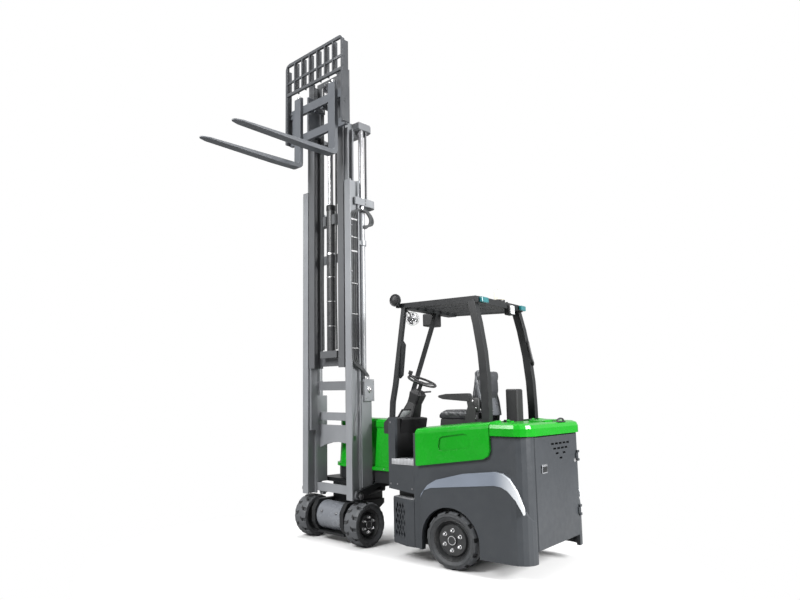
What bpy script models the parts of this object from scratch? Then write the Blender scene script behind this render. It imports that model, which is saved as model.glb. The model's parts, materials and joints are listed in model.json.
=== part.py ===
"""Electric articulated forklift: a battery chassis hinged to a front axle that carries a three-stage mast.

Units are metres, +Z is up. The chassis is drawn in a frame of its own, forward along +X and left along
+Y. The front unit is drawn straight ahead with its articulation pin at x = 0, y = 0, and then turned
about the pin. The mast is drawn in a frame that stands MAST_X ahead of the pin, partly raised. The whole
machine is placed so that the centre of its base is the origin.
"""

import math

import bmesh
import bpy
from mathutils import Matrix, Vector

# Driving dimensions

# Pose at rest
ARTICULATION = math.radians(83.0)  # front unit turned to the left
STAGE_LIFT = 0.62  # middle stage above the outer, and inner above the middle
FREE_LIFT = 2.475  # carriage above its lowest place on the inner stage

# Running gear
REAR_AXLE_X = -1.460  # along the chassis
FRONT_AXLE_X = 0.314  # ahead of the articulation pin
REAR_TYRE_RADIUS = 0.2285
REAR_TYRE_WIDTH = 0.155
REAR_WHEEL_Y = 0.5175
FRONT_TYRE_RADIUS = 0.203
FRONT_TYRE_WIDTH = 0.165
FRONT_WHEEL_Y = 0.352
TYRE_WALL = 0.062  # rubber between the rim and the tread
TREAD_DEPTH = 0.016
TREAD_BLOCKS = 12
RIM_DEPTH = 0.020  # the rim's faces inside the tyre's sides
HUB_GAP = 0.0005  # between a rim and the hub it turns on

# Chassis body
TAIL_X = -2.130  # rear face of the door
SIDE_Y = 0.575  # outside of the upper body
FENDER_Y = 0.603  # outside of the swollen lower body
PANEL = 0.030  # thickness of the moulded body walls
SHEET = 0.018  # thickness of the covers
SKIRT_Z = 0.125
BODY_TOP_Z = 1.075
HOOD_TOP_Z = 1.180
HOOD_FRONT_X = -1.838
DOOR_HALF = 0.430
DOOR_BOTTOM_Z = 0.215
CORNER = 0.135  # plan radius of the rear corners
FLOOR_Z = 0.845
STEP_Z = 0.515
FRONT_WALL_X = -0.840  # front face of the bulkhead
COVER_FRONT_X = -1.150  # front edge of the side covers

# Overhead guard
ROOF_Z = 2.235
ROOF_FRONT_X = -0.914
ROOF_REAR_X = -1.700
ROOF_Y = 0.450
ROOF_RAIL = 0.062  # depth of the roof rails

# Articulation
PIN_X = -0.101  # articulation pin along the chassis
NOSE_Z = 0.585  # underside of the chassis arm
NOSE_TOP_Z = 0.700
PLATFORM_Z = 0.570  # top of the front unit's platform
PLATFORM = 0.040
PIN_RADIUS = 0.050
PIN_SIDES = 32
HUB_RADIUS = 0.228  # round end of the arm and of its cover
BEARING_RADIUS = 0.115

# Mast, measured in its own frame, which stands ahead of the articulation pin
MAST_X = 0.105
TILT_X = 0.296
TILT_Z = 0.470
RAIL_REAR = 0.235
RAIL_FRONT = 0.365
RAIL_OUTER = 0.352
RAIL_INNER = 0.274
RAIL_BOTTOM = 0.425
FLANGE = 0.018
WEB = 0.016
STAGE_GAP = 0.005  # running clearance between nested rails
STAGE_LENGTH = FREE_LIFT + 0.560  # the carriage runs on the inner stage with this much left over
STAGE_BOTTOM = 0.430  # lower end of the moving stages when they are down
RAIL_TOP = STAGE_BOTTOM + STAGE_LENGTH + 0.065
LIFT_X = 0.169  # axis of the main lift cylinders
LIFT_Y = 0.318
LIFT_BARREL = 0.034
LIFT_COLUMN = (0.272, 0.362)  # inner and outer side of the columns that hold the barrels
LIFT_ROD = 0.026
FREE_X = 0.292  # axis of the free-lift cylinder
FREE_BARREL = 0.044
FREE_ROD = 0.028
FORK_REAR = 0.485
FORK_THICKNESS = 0.040
FORK_WIDTH = 0.095
FORK_LENGTH = 1.190
FORK_Y = 0.262
FORK_BOTTOM = 0.040  # underside of the blades when everything is down
FORK_SHANK = 0.775
BACKREST_HALF = 0.442
BACKREST_RISE = 1.205  # top of the backrest above the forks

HEEL_Z = FORK_BOTTOM + 2 * STAGE_LIFT + FREE_LIFT  # underside of the forks as posed
MIDDLE_Z = STAGE_BOTTOM + STAGE_LIFT  # lower ends of the moving stages as posed
INNER_Z = STAGE_BOTTOM + 2 * STAGE_LIFT
SHELF_HEIGHT = 0.170  # top of the free-lift cylinder's shelf above the inner stage's foot
FREE_BARREL_TOP = INNER_Z + SHELF_HEIGHT + FREE_LIFT / 2 + 0.2575  # the rod's travel and its dead length
BOW_Z = MIDDLE_Z + STAGE_LENGTH  # underside of the middle stage's bow

# Tilt cylinders
TILT_EYE = (0.196, 0.430)  # rod eye, x and z
TILT_ANCHOR = (-0.150, 0.487)  # barrel pivot, x and z
TILT_Y = 0.235
TILT_BARREL = 0.026
TILT_PIN = 0.017
TILT_ROD = 0.014

# Clearances
SEAT = 0.0003  # between faces that touch
RUN_GAP = 0.0005  # between a sliding pad or roller and its track
PIN_PLAY = 0.0006  # around a pin or a rod
MOVE_GAP = 0.006  # around a moving panel

# Finishes: base colour, roughness, metallic
FINISHES = {
    "green": ((0.012, 0.36, 0.022), 0.32, 0.0),
    "body_grey": ((0.075, 0.082, 0.090), 0.45, 0.0),
    "trim_blue_grey": ((0.26, 0.29, 0.33), 0.40, 0.0),
    "mast_grey": ((0.13, 0.135, 0.14), 0.42, 0.1),
    "frame_dark": ((0.030, 0.031, 0.033), 0.55, 0.1),
    "black_plastic": ((0.012, 0.012, 0.013), 0.50, 0.0),
    "rubber": ((0.020, 0.020, 0.021), 0.85, 0.0),
    "rim_black": ((0.015, 0.015, 0.016), 0.40, 0.2),
    "chrome": ((0.75, 0.75, 0.76), 0.12, 1.0),
    "seat_vinyl": ((0.018, 0.018, 0.019), 0.60, 0.0),
    "steel": ((0.42, 0.43, 0.44), 0.35, 0.9),
    "lens": ((0.80, 0.78, 0.66), 0.20, 0.0),
}


# Shape helpers


def clear_scene():
    for old in list(bpy.data.objects):
        bpy.data.objects.remove(old, do_unlink=True)


def keep_mesh(mesh):
    """A loose object around a mesh, used until it is joined into a node."""
    piece = bpy.data.objects.new("piece", mesh)
    bpy.context.scene.collection.objects.link(piece)
    return piece


def keep_bmesh(bm):
    mesh = bpy.data.meshes.new("piece")
    bmesh.ops.recalc_face_normals(bm, faces=bm.faces[:])
    bm.to_mesh(mesh)
    bm.free()
    return keep_mesh(mesh)


def bake(source):
    """The evaluated mesh of an object, with its loose caps welded, as a new piece."""
    graph = bpy.context.evaluated_depsgraph_get()
    graph.update()
    mesh = bpy.data.meshes.new_from_object(source.evaluated_get(graph))
    mesh.transform(source.matrix_world)
    bpy.data.objects.remove(source, do_unlink=True)
    bm = bmesh.new()
    bm.from_mesh(mesh)
    bpy.data.meshes.remove(mesh)
    bmesh.ops.remove_doubles(bm, verts=bm.verts[:], dist=2e-6)
    return keep_bmesh(bm)


def block(x0, x1, y0, y1, z0, z1, bevel=0.0, segments=2):
    """A box between two corners, with its edges rounded."""
    bm = bmesh.new()
    bmesh.ops.create_cube(bm, size=1.0)
    size = (x1 - x0, y1 - y0, z1 - z0)
    centre = ((x0 + x1) / 2, (y0 + y1) / 2, (z0 + z1) / 2)
    bmesh.ops.scale(bm, vec=size, verts=bm.verts[:])
    bmesh.ops.translate(bm, vec=centre, verts=bm.verts[:])
    if bevel:
        bmesh.ops.bevel(bm, geom=bm.edges[:], offset=bevel, segments=segments, profile=0.5, affect="EDGES")
    return keep_bmesh(bm)


def rod(start, end, radius, sides=16, end_radius=None):
    """A round bar or a cone between two points."""
    start, end = Vector(start), Vector(end)
    along = end - start
    bm = bmesh.new()
    bmesh.ops.create_cone(
        bm,
        cap_ends=True,
        segments=sides,
        radius1=radius,
        radius2=radius if end_radius is None else end_radius,
        depth=along.length,
    )
    turn = along.to_track_quat("Z", "Y").to_matrix().to_4x4()
    bmesh.ops.transform(bm, matrix=Matrix.Translation((start + end) / 2) @ turn, verts=bm.verts[:])
    return keep_bmesh(bm)


PLANES = {
    "XY": Matrix.Identity(4),
    "XZ": Matrix(((1, 0, 0, 0), (0, 0, -1, 0), (0, 1, 0, 0), (0, 0, 0, 1))),
    "YZ": Matrix(((0, 0, 1, 0), (1, 0, 0, 0), (0, 1, 0, 0), (0, 0, 0, 1))),
}


def plate(outline, low, high, plane="XY", holes=()):
    """A flat outline, with holes, as thick as the range from low to high along the plane's normal."""
    curve = bpy.data.curves.new("piece", "CURVE")
    curve.dimensions = "2D"
    curve.fill_mode = "BOTH"
    curve.extrude = (high - low) / 2
    for loop in (outline, *holes):
        spline = curve.splines.new("POLY")
        spline.points.add(len(loop) - 1)
        for point, (u, v) in zip(spline.points, loop):
            point.co = (u, v, 0.0, 1.0)
        spline.use_cyclic_u = True
    guide = bpy.data.objects.new("piece", curve)
    bpy.context.scene.collection.objects.link(guide)
    middle = (low + high) / 2
    shift = {"XY": (0, 0, middle), "XZ": (0, middle, 0), "YZ": (middle, 0, 0)}[plane]
    guide.matrix_world = Matrix.Translation(shift) @ PLANES[plane]
    bpy.context.view_layer.update()
    return bake(guide)


def tube(points, radius, sides=8):
    """A round bar along a chain of points."""
    curve = bpy.data.curves.new("piece", "CURVE")
    curve.dimensions = "3D"
    curve.bevel_depth = radius
    curve.bevel_resolution = (sides - 4) // 2
    curve.use_fill_caps = True
    spline = curve.splines.new("POLY")
    spline.points.add(len(points) - 1)
    for point, place in zip(spline.points, points):
        point.co = (*place, 1.0)
    guide = bpy.data.objects.new("piece", curve)
    bpy.context.scene.collection.objects.link(guide)
    bpy.context.view_layer.update()
    return bake(guide)


def turned(profile, place, along="Z", steps=24, closed=False):
    """A profile of radius and height pairs, turned about an axis through a place."""
    mesh = bpy.data.meshes.new("piece")
    points = [(radius, 0.0, height) for radius, height in profile]
    edges = [(i, i + 1) for i in range(len(points) - 1)]
    if closed:
        edges.append((len(points) - 1, 0))
    mesh.from_pydata(points, edges, [])
    guide = keep_mesh(mesh)
    screw = guide.modifiers.new("turn", "SCREW")
    screw.steps = steps
    screw.render_steps = steps
    screw.use_merge_vertices = True
    screw.merge_threshold = 0.00001
    turn = {"Z": Matrix.Identity(4), "Y": Matrix.Rotation(math.radians(-90), 4, "X")}[along]
    guide.matrix_world = Matrix.Translation(place) @ turn
    bpy.context.view_layer.update()
    return bake(guide)


def arc(centre, radius, start, end, steps=4):
    """Points along an arc, its angles in degrees."""
    angles = [math.radians(start + (end - start) * i / steps) for i in range(steps + 1)]
    return [(centre[0] + radius * math.cos(a), centre[1] + radius * math.sin(a)) for a in angles]


def rounded(corners, steps=2):
    """An outline from corners of u, v and radius, each corner turned into an arc of its radius."""
    outline = []
    for i, (u, v, radius) in enumerate(corners):
        here = Vector((u, v))
        before = (Vector(corners[i - 1][:2]) - here).normalized()
        after = (Vector(corners[(i + 1) % len(corners)][:2]) - here).normalized()
        if not radius:
            outline.append((u, v))
            continue
        half = before.angle(after) / 2
        reach = radius / math.tan(half)
        centre = here + (before + after).normalized() * (radius / math.sin(half))
        first, last = here + before * reach - centre, here + after * reach - centre
        swing = first.angle_signed(last)
        for k in range(steps + 1):
            turn = Matrix.Rotation(-swing * k / steps, 2)
            outline.append(tuple(centre + turn @ first))
    return outline


def strip(points, width):
    """The outline of a bar of one width along a chain of points."""
    left, right = [], []
    for i, point in enumerate(points):
        here = Vector(point)
        tangents = []
        if i > 0:
            tangents.append((here - Vector(points[i - 1])).normalized())
        if i < len(points) - 1:
            tangents.append((Vector(points[i + 1]) - here).normalized())
        along = sum(tangents, Vector((0.0, 0.0))).normalized()
        normal = Vector((-along.y, along.x))
        reach = width / 2 / max(0.3, along.dot(tangents[0]))
        left.append(tuple(here + normal * reach))
        right.append(tuple(here - normal * reach))
    return left + right[::-1]


def mirrored(pieces):
    """The pieces reflected in the plane y = 0, in place of the ones given."""
    copies = []
    for piece in pieces:
        bm = bmesh.new()
        bm.from_mesh(piece.data)
        bpy.data.objects.remove(piece, do_unlink=True)
        bmesh.ops.scale(bm, vec=(1, -1, 1), verts=bm.verts[:])
        bmesh.ops.reverse_faces(bm, faces=bm.faces[:])
        copies.append(keep_bmesh(bm))
    return copies


def on_side(side, pieces):
    """Pieces drawn on the left, on the side asked for."""
    return pieces if side > 0 else mirrored(pieces)


def moved(piece, matrix):
    piece.data.transform(matrix)
    if matrix.determinant() < 0:
        piece.data.flip_normals()
    return piece


def combine(pieces, cuts=(), operation="UNION"):
    """One closed body from overlapping pieces, less the cuts."""
    base = pieces[0]
    for other in pieces[1:]:
        add = base.modifiers.new("join", "BOOLEAN")
        add.operation = operation
        add.object = other
    for cutter in cuts:
        cut = base.modifiers.new("cut", "BOOLEAN")
        cut.operation = "DIFFERENCE"
        cut.object = cutter
    if not base.modifiers:
        return base
    bpy.context.view_layer.update()
    whole = bake(base)
    for used in (*pieces[1:], *cuts):
        bpy.data.objects.remove(used, do_unlink=True)
    return whole


# Bodies and nodes


class Body:
    """A rigid body: an empty on its joint's axis, with the axis's place in the frame its parts are drawn in.

    Where the parent is drawn in another frame, shift is where this body's frame starts in that one.
    """

    def __init__(self, name, parent=None, place=(0, 0, 0), turn=0.0, shift=(0, 0, 0)):
        self.origin = Vector(place)
        self.empty = bpy.data.objects.new(name + "_axis", None)
        self.empty.empty_display_size = 0.1
        MACHINE.objects.link(self.empty)
        self.empty.rotation_euler.z = turn
        if parent:
            self.empty.parent = parent.empty
            self.empty.location = self.origin + Vector(shift) - parent.origin
        else:
            self.empty.location = self.origin


def material_of(finish):
    if finish in bpy.data.materials:
        return bpy.data.materials[finish]
    colour, roughness, metallic = FINISHES[finish]
    material = bpy.data.materials.new(finish)
    material.use_nodes = True
    shader = material.node_tree.nodes["Principled BSDF"]
    shader.inputs["Base Color"].default_value = (*colour, 1.0)
    shader.inputs["Roughness"].default_value = roughness
    shader.inputs["Metallic"].default_value = metallic
    return material


def node(name, body, finish, pieces, cuts=()):
    """One named solid on a body, with its origin on the body's axis."""
    made = combine(list(pieces), list(cuts))
    made.name = name
    made.data.name = name
    made.data.transform(Matrix.Translation(-body.origin))
    made.data.materials.clear()
    made.data.materials.append(material_of(finish))
    made.data.shade_smooth()
    made.data.set_sharp_from_angle(angle=math.radians(35))
    bpy.context.scene.collection.objects.unlink(made)
    MACHINE.objects.link(made)
    made.parent = body.empty
    return made


# Wheels


def make_wheel(name, body, radius, width):
    """A solid tyre with shoulder lugs on a dished rim with six wheel nuts."""
    rim_radius = radius - TYRE_WALL
    x, y, z = body.origin
    side = 1 if y > 0 else -1
    half = width / 2
    shoulder = radius - 0.010
    tread = [
        (rim_radius, -half + RIM_DEPTH),
        (rim_radius + 0.026, -half),
        (shoulder, -half + 0.004),
        (radius, -half + 0.024),
        (radius, half - 0.024),
        (shoulder, half - 0.004),
        (rim_radius + 0.026, half),
        (rim_radius, half - RIM_DEPTH),
    ]
    tyre = turned(tread, (x, y, z), "Y", steps=TREAD_BLOCKS * 2, closed=True)
    notches = bmesh.new()
    gap = 0.30 * 2 * math.pi * radius / TREAD_BLOCKS
    for row in (-1, 1):
        for k in range(TREAD_BLOCKS):
            turn = Matrix.Rotation(2 * math.pi * (k + (0.25 if row > 0 else -0.25)) / TREAD_BLOCKS, 4, "Y")
            lift = Matrix.Translation((0, row * (half - 0.014), radius))
            size = Matrix.Diagonal((gap, 0.062, 2 * TREAD_DEPTH, 1))
            place = Matrix.Translation((x, y, z)) @ turn @ lift @ size
            bmesh.ops.create_cube(notches, size=1.0, matrix=place)
    node(name + "_tyre", body, "rubber", [tyre], [keep_bmesh(notches)])

    bead = rim_radius - SEAT
    face = half - RIM_DEPTH
    dish = [
        (0.0, face - 0.004),
        (0.038, face - 0.004),
        (0.040, face - 0.018),
        (bead - 0.046, face - 0.018),
        (bead - 0.034, face - 0.036),
        (bead - 0.010, face),
        (bead, face),
        (bead, -face),
        (0.0, -face),
    ]
    rim = turned([(r, side * h) for r, h in dish], (x, y, z), "Y", steps=TREAD_BLOCKS * 2)
    nut_circle = (0.040 + bead - 0.048) / 2
    nuts = [
        rod(
            (x + nut_circle * math.cos(a), y + side * (face - 0.022), z + nut_circle * math.sin(a)),
            (x + nut_circle * math.cos(a), y + side * (face + 0.002), z + nut_circle * math.sin(a)),
            0.0095,
            sides=6,
        )
        for a in (math.radians(60 * i + 33) for i in range(6))
    ]
    node(name + "_rim", body, "rim_black", [rim, *nuts])


# Chassis


ARCH_ROOM = 0.034  # between the rear tyre and the edge of its arch


def arch_cut():
    """The round wheel opening through the left flank, open at the bottom."""
    reach = REAR_TYRE_RADIUS + ARCH_ROOM
    over = arc((REAR_AXLE_X, REAR_TYRE_RADIUS), reach, 180, 0, steps=16)
    return plate([(REAR_AXLE_X - reach, -0.1), *over, (REAR_AXLE_X + reach, -0.1)], 0.40, 0.70, "XZ")


FENDER_CREST = [  # x, z along the top of the swollen lower body, front to rear
    (-1.190, 0.545),
    (-1.226, 0.607),
    (-1.290, 0.632),
    (-1.400, 0.645),
    (-1.600, 0.668),
    (-1.860, 0.698),
    (-1.920, 0.692),
    (-1.970, 0.668),
    (-2.037, 0.600),
    (-2.095, 0.500),
]
TRIM_CREST = [  # x, z along the top of the light arch trim, front to rear
    (-1.200, 0.580),
    (-1.262, 0.655),
    (-1.344, 0.703),
    (-1.587, 0.769),
    (-1.865, 0.805),
    (-1.930, 0.795),
    (-1.985, 0.760),
    (-2.045, 0.670),
    (-2.094, 0.548),
]


def body_path(side_y, front_x, inset):
    """The plan line of a body side: back along the flank, round the corner and in to the rear door."""
    rear = TAIL_X + 0.004
    centre = (rear + CORNER, side_y - CORNER)
    corner = arc(centre, CORNER - inset, 90, 180, steps=5)
    return [(front_x, side_y - inset), *corner, (rear + inset, DOOR_HALF + MOVE_GAP)]


def wall(side_y, front_x, low, high):
    return plate(body_path(side_y, front_x, 0.0) + body_path(side_y, front_x, PANEL)[::-1], low, high)


def make_side_bodies(chassis):
    """The grey flanks: a plain upper wall and a swollen fender around the wheel, on each side."""
    for side, name in ((1, "left"), (-1, "right")):
        upper = wall(SIDE_Y, SIDE_BODY_FRONT_X, SKIRT_Z, BODY_TOP_Z)
        swell = wall(FENDER_Y, -1.175, SKIRT_Z, 0.78)
        crest = [(x, z) for x, z in FENDER_CREST]
        profile = [(-1.170, 0.05), *crest, (-2.180, 0.330), (-2.180, 0.05)]
        limit = plate(profile, 0.35, 0.70, "XZ")
        fender = combine([swell, limit], operation="INTERSECT")
        brackets = [
            block(x - 0.03, x + 0.03, 0.43, SIDE_Y - PANEL + 0.01, 0.60, 0.64)
            for x in (-1.20, -2.00)
        ]
        body = combine(on_side(side, [upper, fender, *brackets]), on_side(side, [arch_cut()]))
        if side < 0:
            body = combine([body, *door_hinge_pins()], door_hinge_gaps())
        node(f"side_body_{name}", chassis, "body_grey", [body])

        lower_edge = [(x, z + 0.001) for x, z in FENDER_CREST]
        band = plate(TRIM_CREST + lower_edge[::-1], SIDE_Y + SEAT, FENDER_Y + 0.003, "XZ")
        node(f"arch_trim_{name}", chassis, "trim_blue_grey", on_side(side, [band]))


def make_side_covers(chassis):
    """The green battery covers: a side skin that turns in over the top, rising to the rear."""
    rise = -0.103  # change of height along x
    rear = HOOD_FRONT_X + MOVE_GAP
    for side, name in ((1, "left"), (-1, "right")):
        outer, inner = FENDER_Y, 0.380
        top = 1.115
        skin = [
            (SIDE_Y + SEAT, 0.70),
            (outer, 0.70),
            *arc((outer - 0.045, top - 0.045), 0.045, 0, 90, steps=4),
            (inner, top + 0.012),
            (inner, top - 0.008),
            *arc((outer - 0.060, top - 0.060), 0.0395, 90, 30, steps=2),
            (SIDE_Y + SEAT, top - 0.075),
        ]
        shell = plate(skin, rear, COVER_FRONT_X, "YZ")
        shear = Matrix.Identity(4)
        shear[2][0] = rise
        shear[2][3] = -rise * COVER_FRONT_X
        moved(shell, shear)
        limit = plate(
            rounded(
                [
                    (COVER_FRONT_X - 0.030, 1.30, 0),
                    (rear, 1.30, 0),
                    (rear, 0.905, 0.070),
                    (COVER_FRONT_X, 0.803, 0.012),
                    (COVER_FRONT_X, 1.080, 0.040),
                ]
            ),
            0.30,
            0.70,
            "XZ",
        )
        shell = combine([shell, limit], operation="INTERSECT")
        pocket = plate(
            rounded(
                [(-1.385, 1.055, 0.03), (-1.370, 0.935, 0.03), (-1.680, 0.975, 0.04), (-1.640, 1.095, 0.04)]
            ),
            outer - 0.012,
            outer + 0.05,
            "XZ",
        )
        notch = block(POST_X - POST_ROOM, POST_X + POST_ROOM, 0.418, 0.4925, 0.90, 1.30)
        node(f"side_cover_{name}", chassis, "green", on_side(side, [shell]), on_side(side, [pocket, notch]))


POST_X = -1.750  # foot of the rear guard posts
POST_ROOM = 0.042
HOOD_HINGE = (HOOD_FRONT_X + 0.010, 0.0, HOOD_TOP_Z + 0.0095)
HOOD_HINGE_YS = (-0.25, 0.25)
HINGE_BARREL = 0.009
HINGE_PIN = 0.005
HINGE_SIDES = 12


def hood_outline(inset):
    side = FENDER_Y - inset
    rear = TAIL_X - 0.012 + inset
    radius = CORNER + 0.02 - inset
    front = HOOD_FRONT_X
    left = [(front, side), *arc((rear + radius, side - radius), radius, 90, 180, steps=5)]
    right = [(x, -y) for x, y in left[::-1]]
    return left + right


def make_hood(hood):
    """The rear lid: a crowned tray, hinged at its front edge, with a raised pad and a sunk grip."""
    skirt_z = BODY_TOP_Z + MOVE_GAP
    levels = ((0.0, skirt_z), (0.0, HOOD_TOP_Z - 0.040), (0.012, HOOD_TOP_Z - 0.012), (0.045, HOOD_TOP_Z))
    tray = loft([[(x, y, z) for x, y in hood_outline(inset)] for inset, z in levels])
    hollow = loft(
        [
            [(x, y, z) for x, y in hood_outline(inset + SHEET)]
            for inset, z in ((0.0, skirt_z - 0.02), (0.0, HOOD_TOP_Z - 0.050), (0.030, HOOD_TOP_Z - SHEET))
        ]
    )
    pad = block(-1.99, -1.90, -0.33, -0.02, HOOD_TOP_Z - 0.01, HOOD_TOP_Z + 0.012, bevel=0.008, segments=1)
    grip = block(-2.125, -2.085, -0.24, -0.10, HOOD_TOP_Z - 0.008, HOOD_TOP_Z + 0.03)
    x, _, z = HOOD_HINGE
    knuckles, bores = [], []
    for y in HOOD_HINGE_YS:
        knuckles.append(rod((x, y - 0.03, z), (x, y + 0.03, z), HINGE_BARREL, sides=8))
        knuckles.append(block(x - 0.045, x, y - 0.03, y + 0.03, z - 0.0108, z - 0.001))
        bores.append(rod((x, y - 0.04, z), (x, y + 0.04, z), HINGE_PIN + PIN_PLAY, sides=HINGE_SIDES))
    node("rear_hood", hood, "green", [tray, pad, *knuckles], [hollow, grip, *bores])


def loft(sections):
    """A closed skin through sections that have the same number of points."""
    bm = bmesh.new()
    rings = [[bm.verts.new(point) for point in section] for section in sections]
    for low, high in zip(rings, rings[1:]):
        for i in range(len(low)):
            j = (i + 1) % len(low)
            bm.faces.new((low[i], low[j], high[j], high[i]))
    bm.faces.new(rings[0][::-1])
    bm.faces.new(rings[-1])
    return keep_bmesh(bm)


DOOR_HINGE = (TAIL_X - 0.006, -(DOOR_HALF + 0.010))
DOOR_HINGE_HEIGHTS = (0.42, 0.88)


VENT_ROWS = (  # columns of slots from the middle, and height
    ((-2, -1, 0, 1, 2), 1.005),
    ((-1.5, -0.5, 0.5, 1.5), 0.965),
    ((-0.9, 0.9), 0.925),
    ((0,), 0.885),
)


def door_hinge_pins():
    """The pins of the rear door, on ears of the right flank."""
    x, y = DOOR_HINGE
    pieces = []
    for z in DOOR_HINGE_HEIGHTS:
        pieces.append(rod((x, y, z - 0.032), (x, y, z + 0.032), HINGE_PIN, sides=HINGE_SIDES))
        for low, high in ((z - 0.045, z - 0.025 - SEAT), (z + 0.025 + SEAT, z + 0.045)):
            pieces.append(rod((x, y, low), (x, y, high), HINGE_BARREL, sides=8))
            pieces.append(block(x - 0.004, x + 0.02, y - 0.04, y, low, high))
    return pieces


def door_hinge_gaps():
    """Room in the flank's edge for the door's knuckles."""
    x, y = DOOR_HINGE
    return [
        block(TAIL_X + 0.0037, x + 0.05, y - 0.012, y + 0.012, z - 0.0256, z + 0.0256)
        for z in DOOR_HINGE_HEIGHTS
    ]


def make_rear_door(door):
    """The grey rear door with its triangle of vent slots and a sunk latch, hinged on the right."""
    panel = block(
        TAIL_X,
        TAIL_X + 0.024,
        -DOOR_HALF,
        DOOR_HALF,
        DOOR_BOTTOM_Z,
        BODY_TOP_Z - 0.004,
        bevel=0.005,
        segments=1,
    )
    vents = []
    for columns, z in VENT_ROWS:
        for column in columns:
            y = -0.085 + column * 0.082
            vents.append(block(TAIL_X - 0.02, TAIL_X + 0.05, y - 0.030, y + 0.030, z - 0.008, z + 0.008))
    latch = block(TAIL_X - 0.01, TAIL_X + 0.012, 0.250, 0.330, 0.790, 0.850)
    handle = block(TAIL_X + 0.002, TAIL_X + 0.016, 0.262, 0.318, 0.800, 0.822)
    x, y = DOOR_HINGE
    knuckles, bores = [], []
    for z in DOOR_HINGE_HEIGHTS:
        knuckles.append(rod((x, y, z - 0.025), (x, y, z + 0.025), HINGE_BARREL, sides=8))
        knuckles.append(block(x - 0.004, x + 0.016, y, y + 0.03, z - 0.025, z + 0.025))
        bores.append(rod((x, y, z - 0.04), (x, y, z + 0.04), HINGE_PIN + PIN_PLAY, sides=HINGE_SIDES))
    solid = combine([panel, *knuckles], [*vents, latch, *bores])
    node("rear_door", door, "body_grey", [solid, handle])


NOSE_PLAN = [  # x, half width along the chassis arm and its cover, from the cab to the neck
    (-0.690, 0.320),
    (-0.490, 0.320),
    (-0.475, 0.188),
]


def nose_outline(inset, rear):
    half = [(x - 0.6 * inset, y - inset) for x, y in NOSE_PLAN[1:]]
    neck = math.degrees(math.asin((NOSE_PLAN[-1][1] - inset) / (HUB_RADIUS - inset)))
    hub = arc((PIN_X, 0), HUB_RADIUS - inset, 180 - neck, 0, steps=8)
    left = [(rear, NOSE_PLAN[0][1] - inset), *half, *hub]
    return left + [(x, -y) for x, y in left[::-1][1:]]


def make_chassis_frame(chassis):
    """The welded frame: two beams, cross plates and the arm that reaches forward to the articulation pin."""
    beam_y = 0.405
    pieces = [
        block(-2.085, -0.870, beam_y - 0.025, beam_y + 0.025, 0.300, 0.420),
        block(-2.085, -0.870, -beam_y - 0.025, -beam_y + 0.025, 0.300, 0.420),
        block(-0.900, -0.865, -0.43, 0.43, 0.300, 0.640),
        block(-1.160, -1.130, -0.41, 0.41, 0.380, 0.420),
        block(-1.820, -1.790, -0.41, 0.41, 0.380, 0.420),
        block(-2.085, -2.055, -0.41, 0.41, 0.300, 0.420),
        plate(nose_outline(0.020, -0.880), NOSE_Z, NOSE_TOP_Z),
        block(-1.480, -0.870, -0.430, -0.380, 0.400, 0.560),
        block(-1.480, -0.870, 0.380, 0.430, 0.400, 0.560),
    ]
    for side in (1, -1):
        y0, y1 = sorted((side * 0.385, side * 0.430))
        pieces.append(block(POST_X - 0.042, POST_X + 0.042, y0, y1, 0.400, 1.060))
        pieces.append(
            block(POST_X - 0.042, POST_X + 0.042, *sorted((side * 0.385, side * 0.500)), 1.040, 1.075)
        )
        pieces.append(
            block(REAR_AXLE_X - 0.05, REAR_AXLE_X + 0.05, *sorted((side * 0.33, side * 0.40)), 0.285, 0.36)
        )
    pin_hole = rod(
        (PIN_X, 0, NOSE_Z - 0.05), (PIN_X, 0, NOSE_TOP_Z + 0.05), PIN_RADIUS + PIN_PLAY, sides=PIN_SIDES
    )
    node("chassis_frame", chassis, "frame_dark", pieces, [pin_hole])


def make_masses(chassis):
    """The battery and the rear counterweight, as plain blocks in the frame."""
    battery = block(-1.800, -1.150, -0.370, 0.370, 0.420 + SEAT, 1.030, bevel=0.005, segments=1)
    node("battery", chassis, "frame_dark", [battery])
    weight = block(-2.055 + SEAT, -1.835, -0.375, 0.375, 0.180, 0.820, bevel=0.02, segments=1)
    node("counterweight", chassis, "frame_dark", [weight])


def make_rear_axle(chassis):
    """The drive axle: a tube with a gear case and a hub at each wheel."""
    z = REAR_TYRE_RADIUS
    reach = REAR_WHEEL_Y - REAR_TYRE_WIDTH / 2 + RIM_DEPTH - HUB_GAP
    pieces = [rod((REAR_AXLE_X, -reach, z), (REAR_AXLE_X, reach, z), 0.045, sides=10)]
    case = block(
        REAR_AXLE_X - 0.11, REAR_AXLE_X + 0.11, -0.14, 0.14, z - 0.10, z + 0.13, bevel=0.03, segments=1
    )
    pieces.append(case)
    for side in (1, -1):
        y0, y1 = sorted((side * 0.325, side * 0.41))
        pieces.append(block(REAR_AXLE_X - 0.052, REAR_AXLE_X + 0.052, y0, y1, z - 0.013, 0.285 - SEAT))
        pieces.append(rod((REAR_AXLE_X, side * 0.431, z), (REAR_AXLE_X, side * reach, z), 0.075, sides=12))
    node("rear_axle", chassis, "frame_dark", pieces)


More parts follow.
